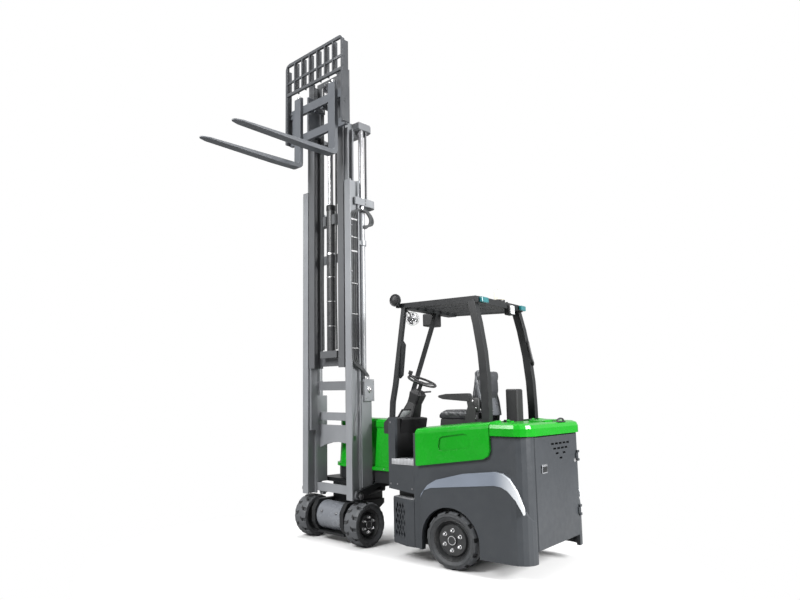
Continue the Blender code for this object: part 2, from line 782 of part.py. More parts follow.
def make_floor(chassis):
    """The operator's floor with its side faces, the bulkhead in front and the pillar for the guard."""
    half = 0.555
    front = FRONT_WALL_X
    rear = SIDE_BODY_FRONT_X + SEAT
    inner = half - 0.035
    flank = [
        (front, 0.590),
        (front, 1.205),
        (-0.912, 1.205),
        (-0.912, FLOOR_Z),
        (rear, FLOOR_Z),
        (rear, 0.560),
    ]
    pieces = [
        plate(flank, inner, half, "XZ"),
        plate(flank, -half, -inner, "XZ"),
        block(rear + 0.001, front - 0.001, -inner - 0.01, inner + 0.01, FLOOR_Z - 0.026, FLOOR_Z - 0.001),
        block(front - 0.020, front - 0.002, -inner - 0.01, inner + 0.01, NOSE_TOP_Z + 0.005, 1.050),
        block(-0.900, -0.855, -0.40, 0.40, NOSE_TOP_Z + SEAT, 0.830),
    ]
    node("cab_floor", chassis, "body_grey", pieces)


SIDE_BODY_FRONT_X = -1.112
STEP_REAR_X = SIDE_BODY_FRONT_X + SEAT
BEAM_OUTER_Y = 0.430


STEP_SLOTS = (0.460, 0.485)
STEP_BEND = (-1.030, 0.578)
STEP_FRONT = (-0.846, 0.498)


def step_outline(inset):
    low = BEAM_OUTER_Y + SEAT + inset
    return [
        (STEP_REAR_X + inset, low),
        (STEP_REAR_X + inset, 0.578 - inset),
        (STEP_BEND[0] - inset * 0.3, STEP_BEND[1] - inset),
        (STEP_FRONT[0] - inset, STEP_FRONT[1] - inset * 0.8),
        (STEP_FRONT[0] - inset, low),
    ]


def make_steps(chassis):
    """The low entry steps: a hollow box with a grating on top and a diamond grille in its slanted side."""
    low, high = SKIRT_Z, STEP_Z - 0.012
    start, end = Vector(STEP_BEND), Vector(STEP_FRONT)
    along = (end - start).normalized()
    length = (end - start).length
    outward = Vector((-along.y, along.x))
    facing = Matrix(
        ((along.x, 0, outward.x, start.x), (along.y, 0, outward.y, start.y), (0, 1, 0, 0), (0, 0, 0, 1))
    )
    for side, name in ((1, "left"), (-1, "right")):
        box = plate(step_outline(0.0), low, high)
        inside = plate(step_outline(0.016), low - 0.05, high + 0.05)
        window = moved(block(0.018, length - 0.010, 0.180, 0.485, -0.03, 0.03), facing)
        hollow = combine([box], [inside, window])

        columns, rows = 4, 6
        pitch_u, pitch_z = (length - 0.036) / columns, 0.0465
        holes = []
        for row in range(rows):
            for column in range(columns - (row % 2)):
                u = 0.020 + pitch_u * (column + 0.5 + 0.5 * (row % 2))
                z = 0.190 + pitch_z * (row + 0.5)
                reach_u, reach_z = pitch_u * 0.38, pitch_z * 0.66
                holes.append([(u - reach_u, z), (u, z - reach_z), (u + reach_u, z), (u, z + reach_z)])
        sheet = [(0.010, 0.170), (length - 0.006, 0.170), (length - 0.006, 0.490), (0.010, 0.490)]
        grille = moved(plate(sheet, -0.010, -0.005, "XY", holes), facing)

        tread = plate(step_outline(0.002), high - 0.002, STEP_Z)
        slots = [
            block(-1.090, -0.875, y - 0.005, y + 0.005, high - 0.02, STEP_Z + 0.02)
            for y in STEP_SLOTS
        ]
        node(
            f"step_{name}",
            chassis,
            "body_grey",
            on_side(side, [hollow, grille, tread]),
            on_side(side, slots),
        )


def make_nose(chassis):
    """The green cover over the arm: a tapered shell with a lip at its foot and a lid on top."""
    rear = -0.690
    foot = NOSE_TOP_Z + SEAT
    lip = plate(nose_outline(-0.004, rear), foot, foot + 0.030)
    shell = loft(
        [
            [(x, y, z) for x, y in nose_outline(inset, rear + 0.001)]
            for inset, z in ((0.020, foot + 0.002), (0.046, 1.105))
        ]
    )
    lid = loft(
        [
            [(x, y, z) for x, y in nose_outline(inset, rear + 0.002)]
            for inset, z in ((0.036, 1.101), (0.036, 1.150), (0.052, 1.172))
        ]
    )
    node("nose_cover", chassis, "green", [lip, shell, lid])


DASH_RIGHT = -0.010


def dash_pieces():
    """The black dash: a kick panel behind the bulkhead and a box that reaches forward over it."""
    rear = FRONT_WALL_X - 0.020 - SEAT
    panel = block(rear - 0.018, rear, DASH_RIGHT, 0.500, FLOOR_Z + SEAT, 1.190)
    profile = rounded(
        [
            (rear - 0.002, 1.050 + SEAT, 0),
            (-0.700, 1.050 + SEAT, 0.01),
            (-0.697, 1.150, 0.02),
            (-0.760, 1.205, 0.02),
            (rear - 0.040, 1.190, 0.01),
            (rear - 0.018, 1.060, 0.0),
        ]
    )
    return [panel, plate(profile, DASH_RIGHT, 0.420, "XZ")]


COLUMN_BASE = Vector((-0.765, 0.085, 1.185))
WHEEL_CENTRE = Vector((-0.908, 0.085, 1.530))
WHEEL_RIM_RADIUS = 0.145
HUB_DEPTH = 0.034


def make_steering(chassis, steering):
    """The dash with the leaning column in its moulded case, and the steering wheel with its knob."""
    axis = (WHEEL_CENTRE - COLUMN_BASE).normalized()
    turn = axis.to_track_quat("Z", "Y").to_matrix().to_4x4()
    case = loft(
        [
            [tuple(COLUMN_BASE + axis * height + turn.to_3x3() @ Vector((u, v, 0))) for u, v in section]
            for height, section in (
                (
                    -0.02,
                    rounded(
                        [
                            (-0.085, -0.080, 0.02),
                            (0.085, -0.080, 0.02),
                            (0.085, 0.080, 0.02),
                            (-0.085, 0.080, 0.02),
                        ],
                    ),
                ),
                (
                    0.16,
                    rounded(
                        [(-0.06, -0.05, 0.02), (0.06, -0.05, 0.02), (0.06, 0.05, 0.02), (-0.06, 0.05, 0.02)]
                    ),
                ),
                (
                    0.25,
                    rounded(
                        [(-0.07, -0.06, 0.02), (0.07, -0.06, 0.02), (0.07, 0.06, 0.02), (-0.07, 0.06, 0.02)]
                    ),
                ),
                (
                    0.285,
                    rounded(
                        [(-0.04, -0.04, 0.02), (0.04, -0.04, 0.02), (0.04, 0.04, 0.02), (-0.04, 0.04, 0.02)]
                    ),
                ),
            )
        ]
    )
    lever = tube(
        [tuple(COLUMN_BASE + axis * 0.26), tuple(COLUMN_BASE + axis * 0.27 + Vector((-0.06, -0.12, 0.0)))],
        0.008,
    )
    stem_top = (WHEEL_CENTRE - COLUMN_BASE).length - HUB_DEPTH - SEAT
    stem = rod(COLUMN_BASE + axis * 0.25, COLUMN_BASE + axis * stem_top, 0.018, sides=12)
    node("dash", chassis, "black_plastic", [*dash_pieces(), case, lever, stem])

    rim = bmesh.new()
    steps, sides = 20, 5
    place = Matrix.Translation(WHEEL_CENTRE) @ turn
    rings = []
    for i in range(steps):
        a = 2 * math.pi * i / steps
        ring = []
        for j in range(sides):
            b = 2 * math.pi * j / sides
            reach = WHEEL_RIM_RADIUS - 0.012 + 0.012 * math.cos(b)
            ring.append(
                rim.verts.new(
                    place @ Vector((reach * math.cos(a), reach * math.sin(a), 0.012 * math.sin(b)))
                ),
            )
        rings.append(ring)
    for i in range(steps):
        here, after = rings[i], rings[(i + 1) % steps]
        for j in range(sides):
            k = (j + 1) % sides
            rim.faces.new((here[j], after[j], after[k], here[k]))
    pieces = [keep_bmesh(rim)]
    hub_low = WHEEL_CENTRE - axis * HUB_DEPTH
    pieces.append(rod(hub_low, WHEEL_CENTRE - axis * 0.004, 0.034, sides=10))
    for angle in (90, 210, 330):
        a = math.radians(angle)
        out = Vector((math.cos(a), math.sin(a), 0)) * (WHEEL_RIM_RADIUS - 0.014)
        spoke = rod(WHEEL_CENTRE - axis * 0.016, place @ out, 0.009, sides=6)
        pieces.append(spoke)
    grip = place @ Vector((-0.05, 0.118, 0))
    pieces.append(rod(grip, grip + axis * 0.032, 0.010, sides=10))
    pieces.append(rod(grip + axis * 0.025, grip + axis * 0.058, 0.020, sides=10))
    node("steering_wheel", steering, "black_plastic", pieces)


SEAT_SHIFT = (0.055, 0.055)  # forward and left from where the seat is drawn


def make_seat(chassis):
    """The operator's seat on its deck, with a cushion, a curved backrest and an armrest."""
    deck = block(-1.780, -1.165, -0.378, 0.378, 1.030 + SEAT, 1.100, bevel=0.01, segments=1)
    console = block(-1.775, -1.665, -0.195, -0.075, 1.090, 1.455, bevel=0.01, segments=1)
    pieces = [deck, console]
    x, _, z = HOOD_HINGE
    ear = [(-1.765, 1.040), (-1.765, 1.090), (x + 0.010, z + 0.009), (x - 0.009, z + 0.009)]
    ear += [(x - 0.009, z - 0.020), (-1.800, 1.040)]
    for y in HOOD_HINGE_YS:
        for low, high in ((y - 0.042, y - 0.030 - SEAT), (y + 0.030 + SEAT, y + 0.042)):
            pieces.append(plate(ear, low, high, "XZ"))
        pieces.append(rod((x, y - 0.044, z), (x, y + 0.044, z), HINGE_PIN, sides=HINGE_SIDES))
    node("seat_deck", chassis, "black_plastic", pieces)
    base = [(-1.58, 1.1003), (-1.24, 1.1003), (-1.25, 1.190 - SEAT), (-1.58, 1.190 - SEAT)]
    hinge = rounded([(-1.60, 1.12, 0), (-1.50, 1.12, 0), (-1.54, 1.30, 0.01), (-1.62, 1.30, 0.01)])
    pivot = rounded([(-1.61, 1.28, 0), (-1.545, 1.28, 0), (-1.53, 1.37, 0), (-1.58, 1.38, 0)])
    arm = rounded(
        [
            (-1.56, 1.345, 0.01),
            (-1.30, 1.365, 0.01),
            (-1.225, 1.392, 0.01),
            (-1.33, 1.412, 0.01),
            (-1.56, 1.418, 0.02),
        ]
    )
    place = Matrix.Translation((*SEAT_SHIFT, 0.0))
    pieces = [
        plate(base, -0.190, 0.190, "XZ"),
        plate(hinge, -0.235, -0.170 - SEAT, "XZ"),
        plate(hinge, 0.170 + SEAT, 0.235, "XZ"),
    ]
    pieces += [plate(pivot, 0.185, 0.232, "XZ"), plate(arm, 0.182, 0.236, "XZ")]
    node("seat_base", chassis, "black_plastic", [moved(piece, place) for piece in pieces])
    cushion = rounded(
        [
            (-1.505, 1.190, 0.01),
            (-1.240, 1.190, 0.01),
            (-1.195, 1.195, 0.005),
            (-1.200, 1.235, 0.03),
            (-1.270, 1.262, 0.04),
            (-1.505, 1.262, 0.02),
        ]
    )
    node("seat_cushion", chassis, "seat_vinyl", [moved(plate(cushion, -0.170, 0.170, "XZ"), place)])
    back = rounded(
        [
            (-1.515, 1.225, 0.02),
            (-1.545, 1.430, 0.10),
            (-1.590, 1.632, 0.03),
            (-1.650, 1.625, 0.02),
            (-1.645, 1.430, 0.05),
            (-1.600, 1.305, 0.02),
        ]
    )
    node("seat_backrest", chassis, "seat_vinyl", [moved(plate(back, -0.170, 0.170, "XZ"), place)])


def post(points, width, y0, y1, lean):
    """A bent guard post in a side view, leaned towards the middle of the machine with height."""
    piece = plate(strip(points, width), y0, y1, "XZ")
    middle = (y0 + y1) / 2
    shear = Matrix.Identity(4)
    shear[1][2] = -lean
    shear[1][3] = lean * points[0][1]
    if middle < 0:
        shear[1][2], shear[1][3] = lean, -lean * points[0][1]
    return moved(piece, shear)


REAR_POST = [
    (POST_X, 1.0753), (POST_X, 1.30), (-1.744, 1.52), (-1.722, 1.76), (-1.682, 2.00), (-1.636, 2.20)
]
LEFT_POST = [(-0.872, 1.2053), (-0.872, 1.340), (-0.895, 1.500), (-0.955, 2.200)]
FRONT_POST = [(-0.612, 1.1723), (-0.612, 1.195), (-0.690, 1.395), (-0.990, 2.200)]


def make_guard(chassis):
    """The overhead guard: curved rear posts, slim front posts and a barred roof, welded into one."""
    pieces = [
        post(REAR_POST, 0.066, 0.425, 0.490, 0.028),
        post(REAR_POST, 0.066, -0.490, -0.425, 0.028),
        post(LEFT_POST, 0.040, 0.514, 0.552, 0.100),
        post(FRONT_POST, 0.034, -0.087, -0.053, 0.0),
    ]
    low, high = ROOF_Z - ROOF_RAIL, ROOF_Z
    side_rail = rounded(
        [
            (ROOF_FRONT_X, low + 0.02, 0.01),
            (ROOF_FRONT_X, high, 0.01),
            (ROOF_REAR_X, high, 0.02),
            (ROOF_REAR_X, low, 0.02),
        ],
    )
    for side in (1, -1):
        pieces.append(plate(side_rail, *sorted((side * (ROOF_Y - 0.045), side * ROOF_Y)), "XZ"))
    cross = ROOF_Y - 0.02
    pieces.append(
        block(ROOF_FRONT_X - 0.090, ROOF_FRONT_X - 0.002, -cross, cross, low + 0.010, high - 0.004)
    )
    pieces.append(block(ROOF_REAR_X + 0.002, ROOF_REAR_X + 0.070, -cross, cross, low + 0.004, high - 0.004))
    bars = 5
    for i in range(bars):
        y = (i - (bars - 1) / 2) * 0.135
        pieces.append(
            block(ROOF_REAR_X + 0.03, ROOF_FRONT_X - 0.03, y - 0.014, y + 0.014, high - 0.034, high - 0.004)
        )
    x, y, z = FRONT_LAMP
    pieces.append(
        turned(
            [(0.0, -0.024), (0.038, -0.024), (0.058, 0.006), (0.058, 0.022), (0.050, 0.018), (0.0, 0.018)],
            (x, y, z),
            "Y",
            steps=14,
        ),
    )
    pieces.append(block(x - 0.014, x + 0.010, ROOF_Y - 0.012, y - 0.010, high - 0.040, z + 0.010))
    grip = [(-0.9060, 1.560), (-0.9320, 1.585), (-0.9620, 1.850), (-0.9420, 1.880)]
    pieces.append(plate(strip(grip, 0.026), 0.447, 0.485, "XZ"))
    node("overhead_guard", chassis, "frame_dark", pieces)


TAIL_LAMPS = (("tail_lamp_left", 0.305, 0.425), ("tail_lamp_right", -0.447, -0.347))
FRONT_LAMP = (-0.900, 0.485, 2.262)  # middle of the round lamp on the roof's front left corner


def make_guard_fittings(chassis):
    """The roof console in front of the guard, the beacon on its rear rail and the two tail lamps behind it."""
    front = ROOF_FRONT_X - 0.002 + SEAT
    console = block(front, front + 0.110, -0.290, -0.110, 2.075, 2.200, bevel=0.012)
    node("roof_console", chassis, "black_plastic", [console])
    beacon = [
        (0.0, 0.0),
        (0.036, 0.0),
        (0.036, 0.012),
        (0.030, 0.014),
        (0.030, 0.070),
        (0.020, 0.084),
        (0.0, 0.086),
    ]
    spot = (ROOF_REAR_X + 0.036, -0.060, ROOF_Z - 0.004 + SEAT)
    node("beacon", chassis, "lens", [turned(beacon[::-1], spot, "Z", steps=10)])
    rear = ROOF_REAR_X - SEAT
    for name, y0, y1 in TAIL_LAMPS:
        box = block(rear - 0.028, rear, y0, y1, ROOF_Z - 0.054, ROOF_Z - 0.008, bevel=0.006)
        node(name, chassis, "lens", [box])


# Front unit


def make_axle_frame(front):
    """The turning frame: a platform on the articulation pin, side arms to the mast and the axle carrier."""
    z0, z1 = PLATFORM_Z - PLATFORM, PLATFORM_Z
    arm_y0, arm_y1 = 0.368, 0.392
    deck = rounded(
        [(0.180, -arm_y1, 0), (0.180, arm_y1, 0), (-0.200, arm_y1, 0.10), (-0.200, -arm_y1, 0.10)]
    )
    pieces = [
        plate(deck, z0, z1),
        rod((0, 0, z0), (0, 0, NOSE_TOP_Z - 0.004), PIN_RADIUS, sides=PIN_SIDES),
        rod((0, 0, z0), (0, 0, NOSE_Z - SEAT), BEARING_RADIUS, sides=20),
        block(-0.120, 0.200, -0.190, 0.190, 0.340, z0 + 0.01),
    ]
    ax, az = FRONT_AXLE_X, FRONT_TYRE_RADIUS
    side_plate = rounded(
        [
            (-0.110, 0.385, 0),
            (-0.110, 0.340, 0),
            (ax - 0.190, az - 0.010, 0.02),
            (ax - 0.105, az - 0.113, 0.03),
            (ax + 0.095, az - 0.113, 0.03),
            (ax + 0.150, az - 0.035, 0.03),
            (ax + 0.150, az + 0.095, 0.03),
            (ax + 0.090, az + 0.180, 0.03),
        ],
        steps=1,
    )
    for side in (1, -1):
        pieces.append(plate(side_plate, *sorted((side * 0.172, side * 0.222)), "XZ"))
        arm = rounded(
            [
                (-0.100, z0 - 0.002, 0),
                (MAST_X + 0.060, z0 - 0.002, 0),
                (MAST_X + TILT_X - 0.060, TILT_Z - 0.028, 0.02),
                (MAST_X + TILT_X + 0.034, TILT_Z - 0.030, 0.02),
                (MAST_X + TILT_X + 0.039, TILT_Z + 0.035, 0.02),
                (MAST_X + TILT_X - 0.046, TILT_Z + 0.060, 0.03),
                (MAST_X + 0.070, z1, 0),
                (-0.100, z1, 0),
            ],
            steps=1,
        )
        pieces.append(plate(arm, *sorted((side * arm_y0, side * arm_y1)), "XZ"))
        x, z = MAST_X + TILT_X, TILT_Z
        pieces.append(
            rod((x, side * (RAIL_OUTER - 0.020), z), (x, side * (arm_y1 + 0.014), z), TILT_PIN, sides=16)
        )
        pieces.append(rod((x, side * (arm_y1 - 0.004), z), (x, side * (arm_y1 + 0.010), z), 0.034, sides=6))
        x, z = MAST_X + TILT_ANCHOR[0], TILT_ANCHOR[1]
        ear = rounded(
            [
                (x - 0.035, z0 + 0.01, 0),
                (x - 0.025, z - 0.022, 0.015),
                (x + 0.025, z - 0.022, 0.015),
                (x + 0.035, z0 + 0.01, 0),
            ],
        )
        for y0 in (TILT_Y - 0.038, TILT_Y + 0.026):
            pieces.append(plate(ear, *sorted((side * y0, side * (y0 + 0.012))), "XZ"))
        pieces.append(rod((x, side * (TILT_Y - 0.042), z), (x, side * (TILT_Y + 0.042), z), 0.009, sides=8))
        stub_end = FRONT_WHEEL_Y - FRONT_TYRE_WIDTH / 2 + RIM_DEPTH - HUB_GAP
        pieces.append(rod((ax, side * 0.20, az), (ax, side * stub_end, az), 0.070, sides=12))
    pieces.append(block(ax - 0.110, ax + 0.100, -0.18, 0.18, az - 0.133, az - 0.112))
    pieces.append(rod((ax, -0.180, az + 0.028), (ax, 0.180, az + 0.028), 0.135, sides=16))
    node("front_frame", front, "frame_dark", pieces)


VALVE_Y = 0.368  # middle of the valve blocks on the columns
VALVE_FRONT = 0.215
VALVE_TOP = 1.555


def make_outer_mast(mast):
    """The outer stage: two I rails joined by cross plates and a rear bow, with the lift columns behind."""
    web = 0.310
    pieces, cuts = [], []
    for side in (1, -1):
        rail = [
            (RAIL_REAR, RAIL_INNER),
            (RAIL_REAR, RAIL_OUTER),
            (RAIL_REAR + FLANGE, RAIL_OUTER),
            (RAIL_REAR + FLANGE, web + WEB),
            (RAIL_FRONT - FLANGE, web + WEB),
            (RAIL_FRONT - FLANGE, RAIL_OUTER),
            (RAIL_FRONT, RAIL_OUTER),
            (RAIL_FRONT, RAIL_INNER),
            (RAIL_FRONT - FLANGE, RAIL_INNER),
            (RAIL_FRONT - FLANGE, web),
            (RAIL_REAR + FLANGE, web),
            (RAIL_REAR + FLANGE, RAIL_INNER),
        ]
        outline = [(x, side * y) for x, y in (rail if side < 0 else rail[::-1])]
        pieces.append(plate(outline, RAIL_BOTTOM, RAIL_TOP))
        boss = rod(
            (TILT_X, side * (web + 0.008), TILT_Z), (TILT_X, side * LIFT_COLUMN[1], TILT_Z), 0.036, sides=12
        )
        pieces.append(boss)
        y0, y1 = sorted((side * (0.302 + RUN_GAP), side * (web + 0.002)))
        pieces.append(block(RAIL_REAR + FLANGE - 0.002, RAIL_FRONT - FLANGE + 0.002, y0, y1, 3.420, 3.500))
        cuts.append(
            rod(
                (TILT_X, side * (web + 0.020), TILT_Z),
                (TILT_X, side * 0.40, TILT_Z),
                TILT_PIN + PIN_PLAY,
                sides=16,
            ),
        )
        y0, y1 = sorted((side * LIFT_COLUMN[0], side * LIFT_COLUMN[1]))
        pieces.append(block(0.100, RAIL_REAR + 0.002, y0, y1, 0.535, 1.400))
        y0, y1 = sorted((side * (VALVE_Y - 0.014), side * (VALVE_Y + 0.016)))
        pieces.append(block(0.085, VALVE_FRONT, y0, y1, 1.345, VALVE_TOP))
        cuts.append(
            rod((LIFT_X, side * LIFT_Y, 0.555), (LIFT_X, side * LIFT_Y, 1.45), LIFT_BARREL + SEAT, sides=12)
        )
        eye_x, eye_z = TILT_EYE
        lug = rounded(
            [
                (eye_x - 0.035, 0.520, 0),
                (eye_x - 0.022, eye_z - 0.018, 0.015),
                (eye_x + 0.022, eye_z - 0.018, 0.015),
                (eye_x + 0.035, 0.520, 0),
            ],
        )
        for y0 in (TILT_Y - 0.022, TILT_Y + 0.012):
            pieces.append(plate(lug, *sorted((side * y0, side * (y0 + 0.010))), "XZ"))
        pieces.append(
            rod(
                (eye_x, side * (TILT_Y - 0.024), eye_z),
                (eye_x, side * (TILT_Y + 0.024), eye_z),
                0.008,
                sides=8,
            ),
        )
    reach = 0.284
    pieces.append(block(0.170, 0.196, -reach, reach, 1.150, 1.230))
    crown = [(y, 0.940 - 0.070 * (y / reach) ** 2) for y in (-0.2, -0.1, 0.0, 0.1, 0.2)]
    arch = [(-reach, 1.105), (-reach, 0.870), *crown, (reach, 0.870), (reach, 1.105)]
    pieces.append(plate(arch[::-1], 0.170, 0.196, "YZ"))
    pieces.append(block(0.205, RAIL_REAR + 0.003, -reach, reach, 0.450, 0.530))
    bow_y = 0.360
    bow = [(RAIL_REAR + 0.06, bow_y), *arc((0.05, bow_y - 0.07), 0.07, 90, 180, steps=3)]
    bow += [(x, -y) for x, y in bow[::-1]]
    inner = [(RAIL_REAR + 0.06, bow_y - 0.016), *arc((0.05, bow_y - 0.07), 0.054, 90, 180, steps=3)]
    inner += [(x, -y) for x, y in inner[::-1]]
    pieces.append(plate(bow + inner[::-1], 3.285, 3.360))
    node("outer_mast", mast, "mast_grey", pieces, cuts)


HOSE_X, HOSE_Y = 0.300, 0.352  # middle of the hose bundle in the left rail's outer channel
HOSE_TOP = 3.150
HOSE_CLIPS = (1.90, 2.50, 3.05)


def make_mast_lines(mast):
    """The hose bundle in the left rail's channel, looped over to the lift barrel, and the pipe beside it."""
    loop = [
        (HOSE_X, HOSE_Y, HOSE_TOP - 0.02),
        (0.290, 0.366, 3.205),
        (0.245, 0.374, 3.240),
        (0.195, 0.374, 3.225),
        (0.160, 0.372, 3.170),
        (LIFT_X, LIFT_Y + LIFT_BARREL + 0.0105, 3.120),
    ]
    tail = [
        (HOSE_X, HOSE_Y, 1.760),
        (0.285, 0.362, 1.700),
        (0.225, VALVE_Y, 1.640),
        (0.165, VALVE_Y, VALVE_TOP + 0.045),
        (0.165, VALVE_Y, VALVE_TOP + SEAT),
    ]
    pieces = [rod((HOSE_X, HOSE_Y, 1.740), (HOSE_X, HOSE_Y, HOSE_TOP), 0.021, sides=12)]
    pieces += [tube(loop, 0.010, sides=6), tube(tail, 0.010, sides=6)]
    base = 0.310 + WEB + SEAT
    pieces += [block(HOSE_X - 0.016, HOSE_X + 0.016, base, base + 0.015, z, z + 0.020) for z in HOSE_CLIPS]
    node("mast_hose", mast, "rubber", pieces)

    line = [
        (VALVE_FRONT + SEAT, VALVE_Y, VALVE_TOP - 0.025),
        (0.262, 0.370, VALVE_TOP - 0.025),
        (0.272, 0.370, 1.330),
        (0.320, 0.342, 1.130),
        (0.325, 0.340, 1.010),
    ]
    fitting = block(0.305, 0.345, base, RAIL_OUTER - 0.002, 0.975, 1.020)
    node("mast_pipe", mast, "steel", [tube(line, 0.0055, sides=6), fitting])


def make_lift_cylinders(mast, middle):
    """The two main lift cylinders: a bored barrel in each column, and a rod that pushes the middle stage."""
    for side, name in ((1, "left"), (-1, "right")):
        y = side * LIFT_Y
        barrel = [
            rod((LIFT_X, y, 0.555 + SEAT), (LIFT_X, y, 3.220), LIFT_BARREL, sides=12),
            rod((LIFT_X, y, 2.880), (LIFT_X, y, 2.930), 0.046, sides=12),
            block(LIFT_X, RAIL_REAR - SEAT, *sorted((y - 0.025, y + 0.025)), 2.885, 2.925),
        ]
        bore = rod((LIFT_X, y, 0.58), (LIFT_X, y, 3.30), LIFT_ROD + PIN_PLAY, sides=12)
        node(f"lift_barrel_{name}", mast, "mast_grey", barrel, [bore])
        stem = rod((LIFT_X, y, 1.380), (LIFT_X, y, BOW_Z - SEAT), LIFT_ROD, sides=12)
        node(f"lift_rod_{name}", middle, "chrome", [stem])


CROSS_HEIGHTS = (1.450, 2.750, 3.960)


def make_middle_stage(middle):
    """The middle stage: outward channels inside the outer rails, cross plates and the bow over the lift rods."""
    low, high = MIDDLE_Z, BOW_Z
    web, tip = 0.246, 0.302
    rear, front = RAIL_REAR + FLANGE + STAGE_GAP, RAIL_FRONT - FLANGE - STAGE_GAP
    pieces = []
    for side in (1, -1):
        rail = [
            (rear, web),
            (rear, tip),
            (rear + WEB, tip),
            (rear + WEB, web + WEB),
            (front - WEB, web + WEB),
            (front - WEB, tip),
            (front, tip),
            (front, web),
        ]
        outline = [(x, side * y) for x, y in (rail if side < 0 else rail[::-1])]
        pieces.append(plate(outline, low, high))
        for z in CROSS_HEIGHTS:
            pieces.append(
                block(0.216, rear + 0.002, *sorted((side * web, side * (web + WEB))), z, z + 0.090)
            )
        neck = sorted((side * web, side * (web + 0.020)))
        pieces.append(block(0.150, front, *neck, high - 0.030, high + 0.070))
        arm = sorted((side * (web + 0.010), side * RAIL_OUTER))
        pieces.append(
            block(0.060, RAIL_REAR - STAGE_GAP, *arm, high, high + 0.076, bevel=0.005, segments=1)
        )
        pieces.append(
            block(
                0.285,
                0.325,
                *sorted((side * (0.240 + RUN_GAP), side * (web + 0.002))),
                high - 0.13,
                high - 0.06,
            ),
        )
    for z in CROSS_HEIGHTS:
        pieces.append(block(0.216, 0.236, -web - WEB, web + WEB, z, z + 0.090))
    half = RAIL_OUTER - 0.003
    outside = [(0.100, half, 0), (0.010, half, 0.07), (0.010, -half, 0.07), (0.100, -half, 0)]
    inside = [(0.100, -0.290, 0), (0.062, -0.280, 0.03), (0.062, 0.280, 0.03), (0.100, 0.290, 0)]
    pieces.append(plate(rounded(outside + inside), high + 0.004, high + 0.072))
    node("middle_mast", middle, "mast_grey", pieces)




def make_inner_stage(inner):
    """The inner stage: I rails that carry the fork carriage, with the shelf of the free-lift cylinder."""
    low = INNER_Z
    high = low + STAGE_LENGTH
    web0, web1 = 0.224, 0.240
    rear0, rear1 = 0.244, 0.260
    front0, front1 = 0.349, 0.365
    pieces = []
    for side in (1, -1):
        rail = [
            (rear0, 0.175),
            (rear0, web1),
            (front0, web1),
            (front0, 0.258),
            (front1, 0.258),
            (front1, 0.175),
            (front0, 0.175),
            (front0, web0),
            (rear1, web0),
            (rear1, 0.175),
        ]
        outline = [(x, side * y) for x, y in (rail if side < 0 else rail[::-1])]
        pieces.append(plate(outline, low, high))
        y0, y1 = sorted((side * 0.068, side * 0.180))
        pieces.append(block(rear0, rear1, y0, y1, 3.130, 3.230))
        y0, y1 = sorted((side * (FREE_BARREL + SEAT), side * 0.090))
        pieces.append(block(0.2585, 0.325, y0, y1, 3.130, 3.230))
    shelf = low + SHELF_HEIGHT - SEAT
    pieces.append(block(rear0, rear1, -0.180, 0.180, low + 0.02, shelf))
    pieces.append(block(rear0, 0.335, -0.120, 0.120, shelf - 0.070, shelf))
    pieces.append(block(rear0, rear1, -web1, web1, high - 0.010, high + 0.045))
    node("inner_mast", inner, "mast_grey", pieces)
    barrel = rod((FREE_X, 0, low + SHELF_HEIGHT), (FREE_X, 0, FREE_BARREL_TOP), FREE_BARREL, sides=16)
    bore = rod(
        (FREE_X, 0, low + SHELF_HEIGHT + 0.060),
        (FREE_X, 0, FREE_BARREL_TOP + 0.10),
        FREE_ROD + PIN_PLAY,
        sides=12,
    )
    node("free_lift_barrel", inner, "frame_dark", [barrel], [bore])


PULLEY_Z = FREE_BARREL_TOP + FREE_LIFT / 2 + 0.060
PULLEY_RADIUS = 0.045
CHAIN_END_Z = HEEL_Z + 0.625  # where the carriage chains meet the carriage


def make_free_lift(rod_body):
    """The free-lift rod with its head and two chain pulleys, and the chain runs that hang from them."""
    stem = rod((FREE_X, 0, FREE_BARREL_TOP - 0.185), (FREE_X, 0, PULLEY_Z - 0.030), FREE_ROD, sides=12)
    low, high = PULLEY_Z - 0.045, PULLEY_Z + 0.040
    head = block(FREE_X - 0.040, FREE_X + 0.040, -0.030, 0.030, low, high, bevel=0.008, segments=1)
    shaft = rod((FREE_X, -0.070, PULLEY_Z), (FREE_X, 0.070, PULLEY_Z), 0.012, sides=8)
    pieces = [stem, head, shaft]
    for side in (1, -1):
        groove = [
            (0.0, 0.014),
            (PULLEY_RADIUS, 0.014),
            (PULLEY_RADIUS - 0.006, 0.008),
            (PULLEY_RADIUS - 0.006, -0.008),
            (PULLEY_RADIUS, -0.014),
            (0.0, -0.014),
        ]
        pieces.append(turned(groove, (FREE_X, side * 0.055, PULLEY_Z), "Y", steps=12))
    node("free_lift_rod", rod_body, "chrome", pieces)
    for side, name in ((1, "left"), (-1, "right")):
        y0, y1 = sorted((side * 0.0485, side * 0.0615))
        outer = PULLEY_RADIUS + 0.0055
        inner = PULLEY_RADIUS - 0.006 + SEAT
        over = arc((FREE_X, PULLEY_Z), outer, 180, 0, steps=6)
        under = arc((FREE_X, PULLEY_Z), inner, 0, 180, steps=6)
        back, front = FREE_BARREL_TOP + 0.030, CHAIN_END_Z + SEAT
        run = [
            (FREE_X - outer, back),
            *over,
            (FREE_X + outer, front),
            (FREE_X + inner, front),
            *under,
            (FREE_X - inner, back),
        ]
        node(f"carriage_chain_{name}", rod_body, "steel", [plate(run[::-1], y0, y1, "XZ")])


def make_lift_chains(middle):
    for side, name in ((1, "left"), (-1, "right")):
        y0, y1 = sorted((side * 0.312, side * 0.332))
        node(f"lift_chain_{name}", middle, "steel", [block(0.098, 0.110, y0, y1, 2.250, BOW_Z - SEAT)])


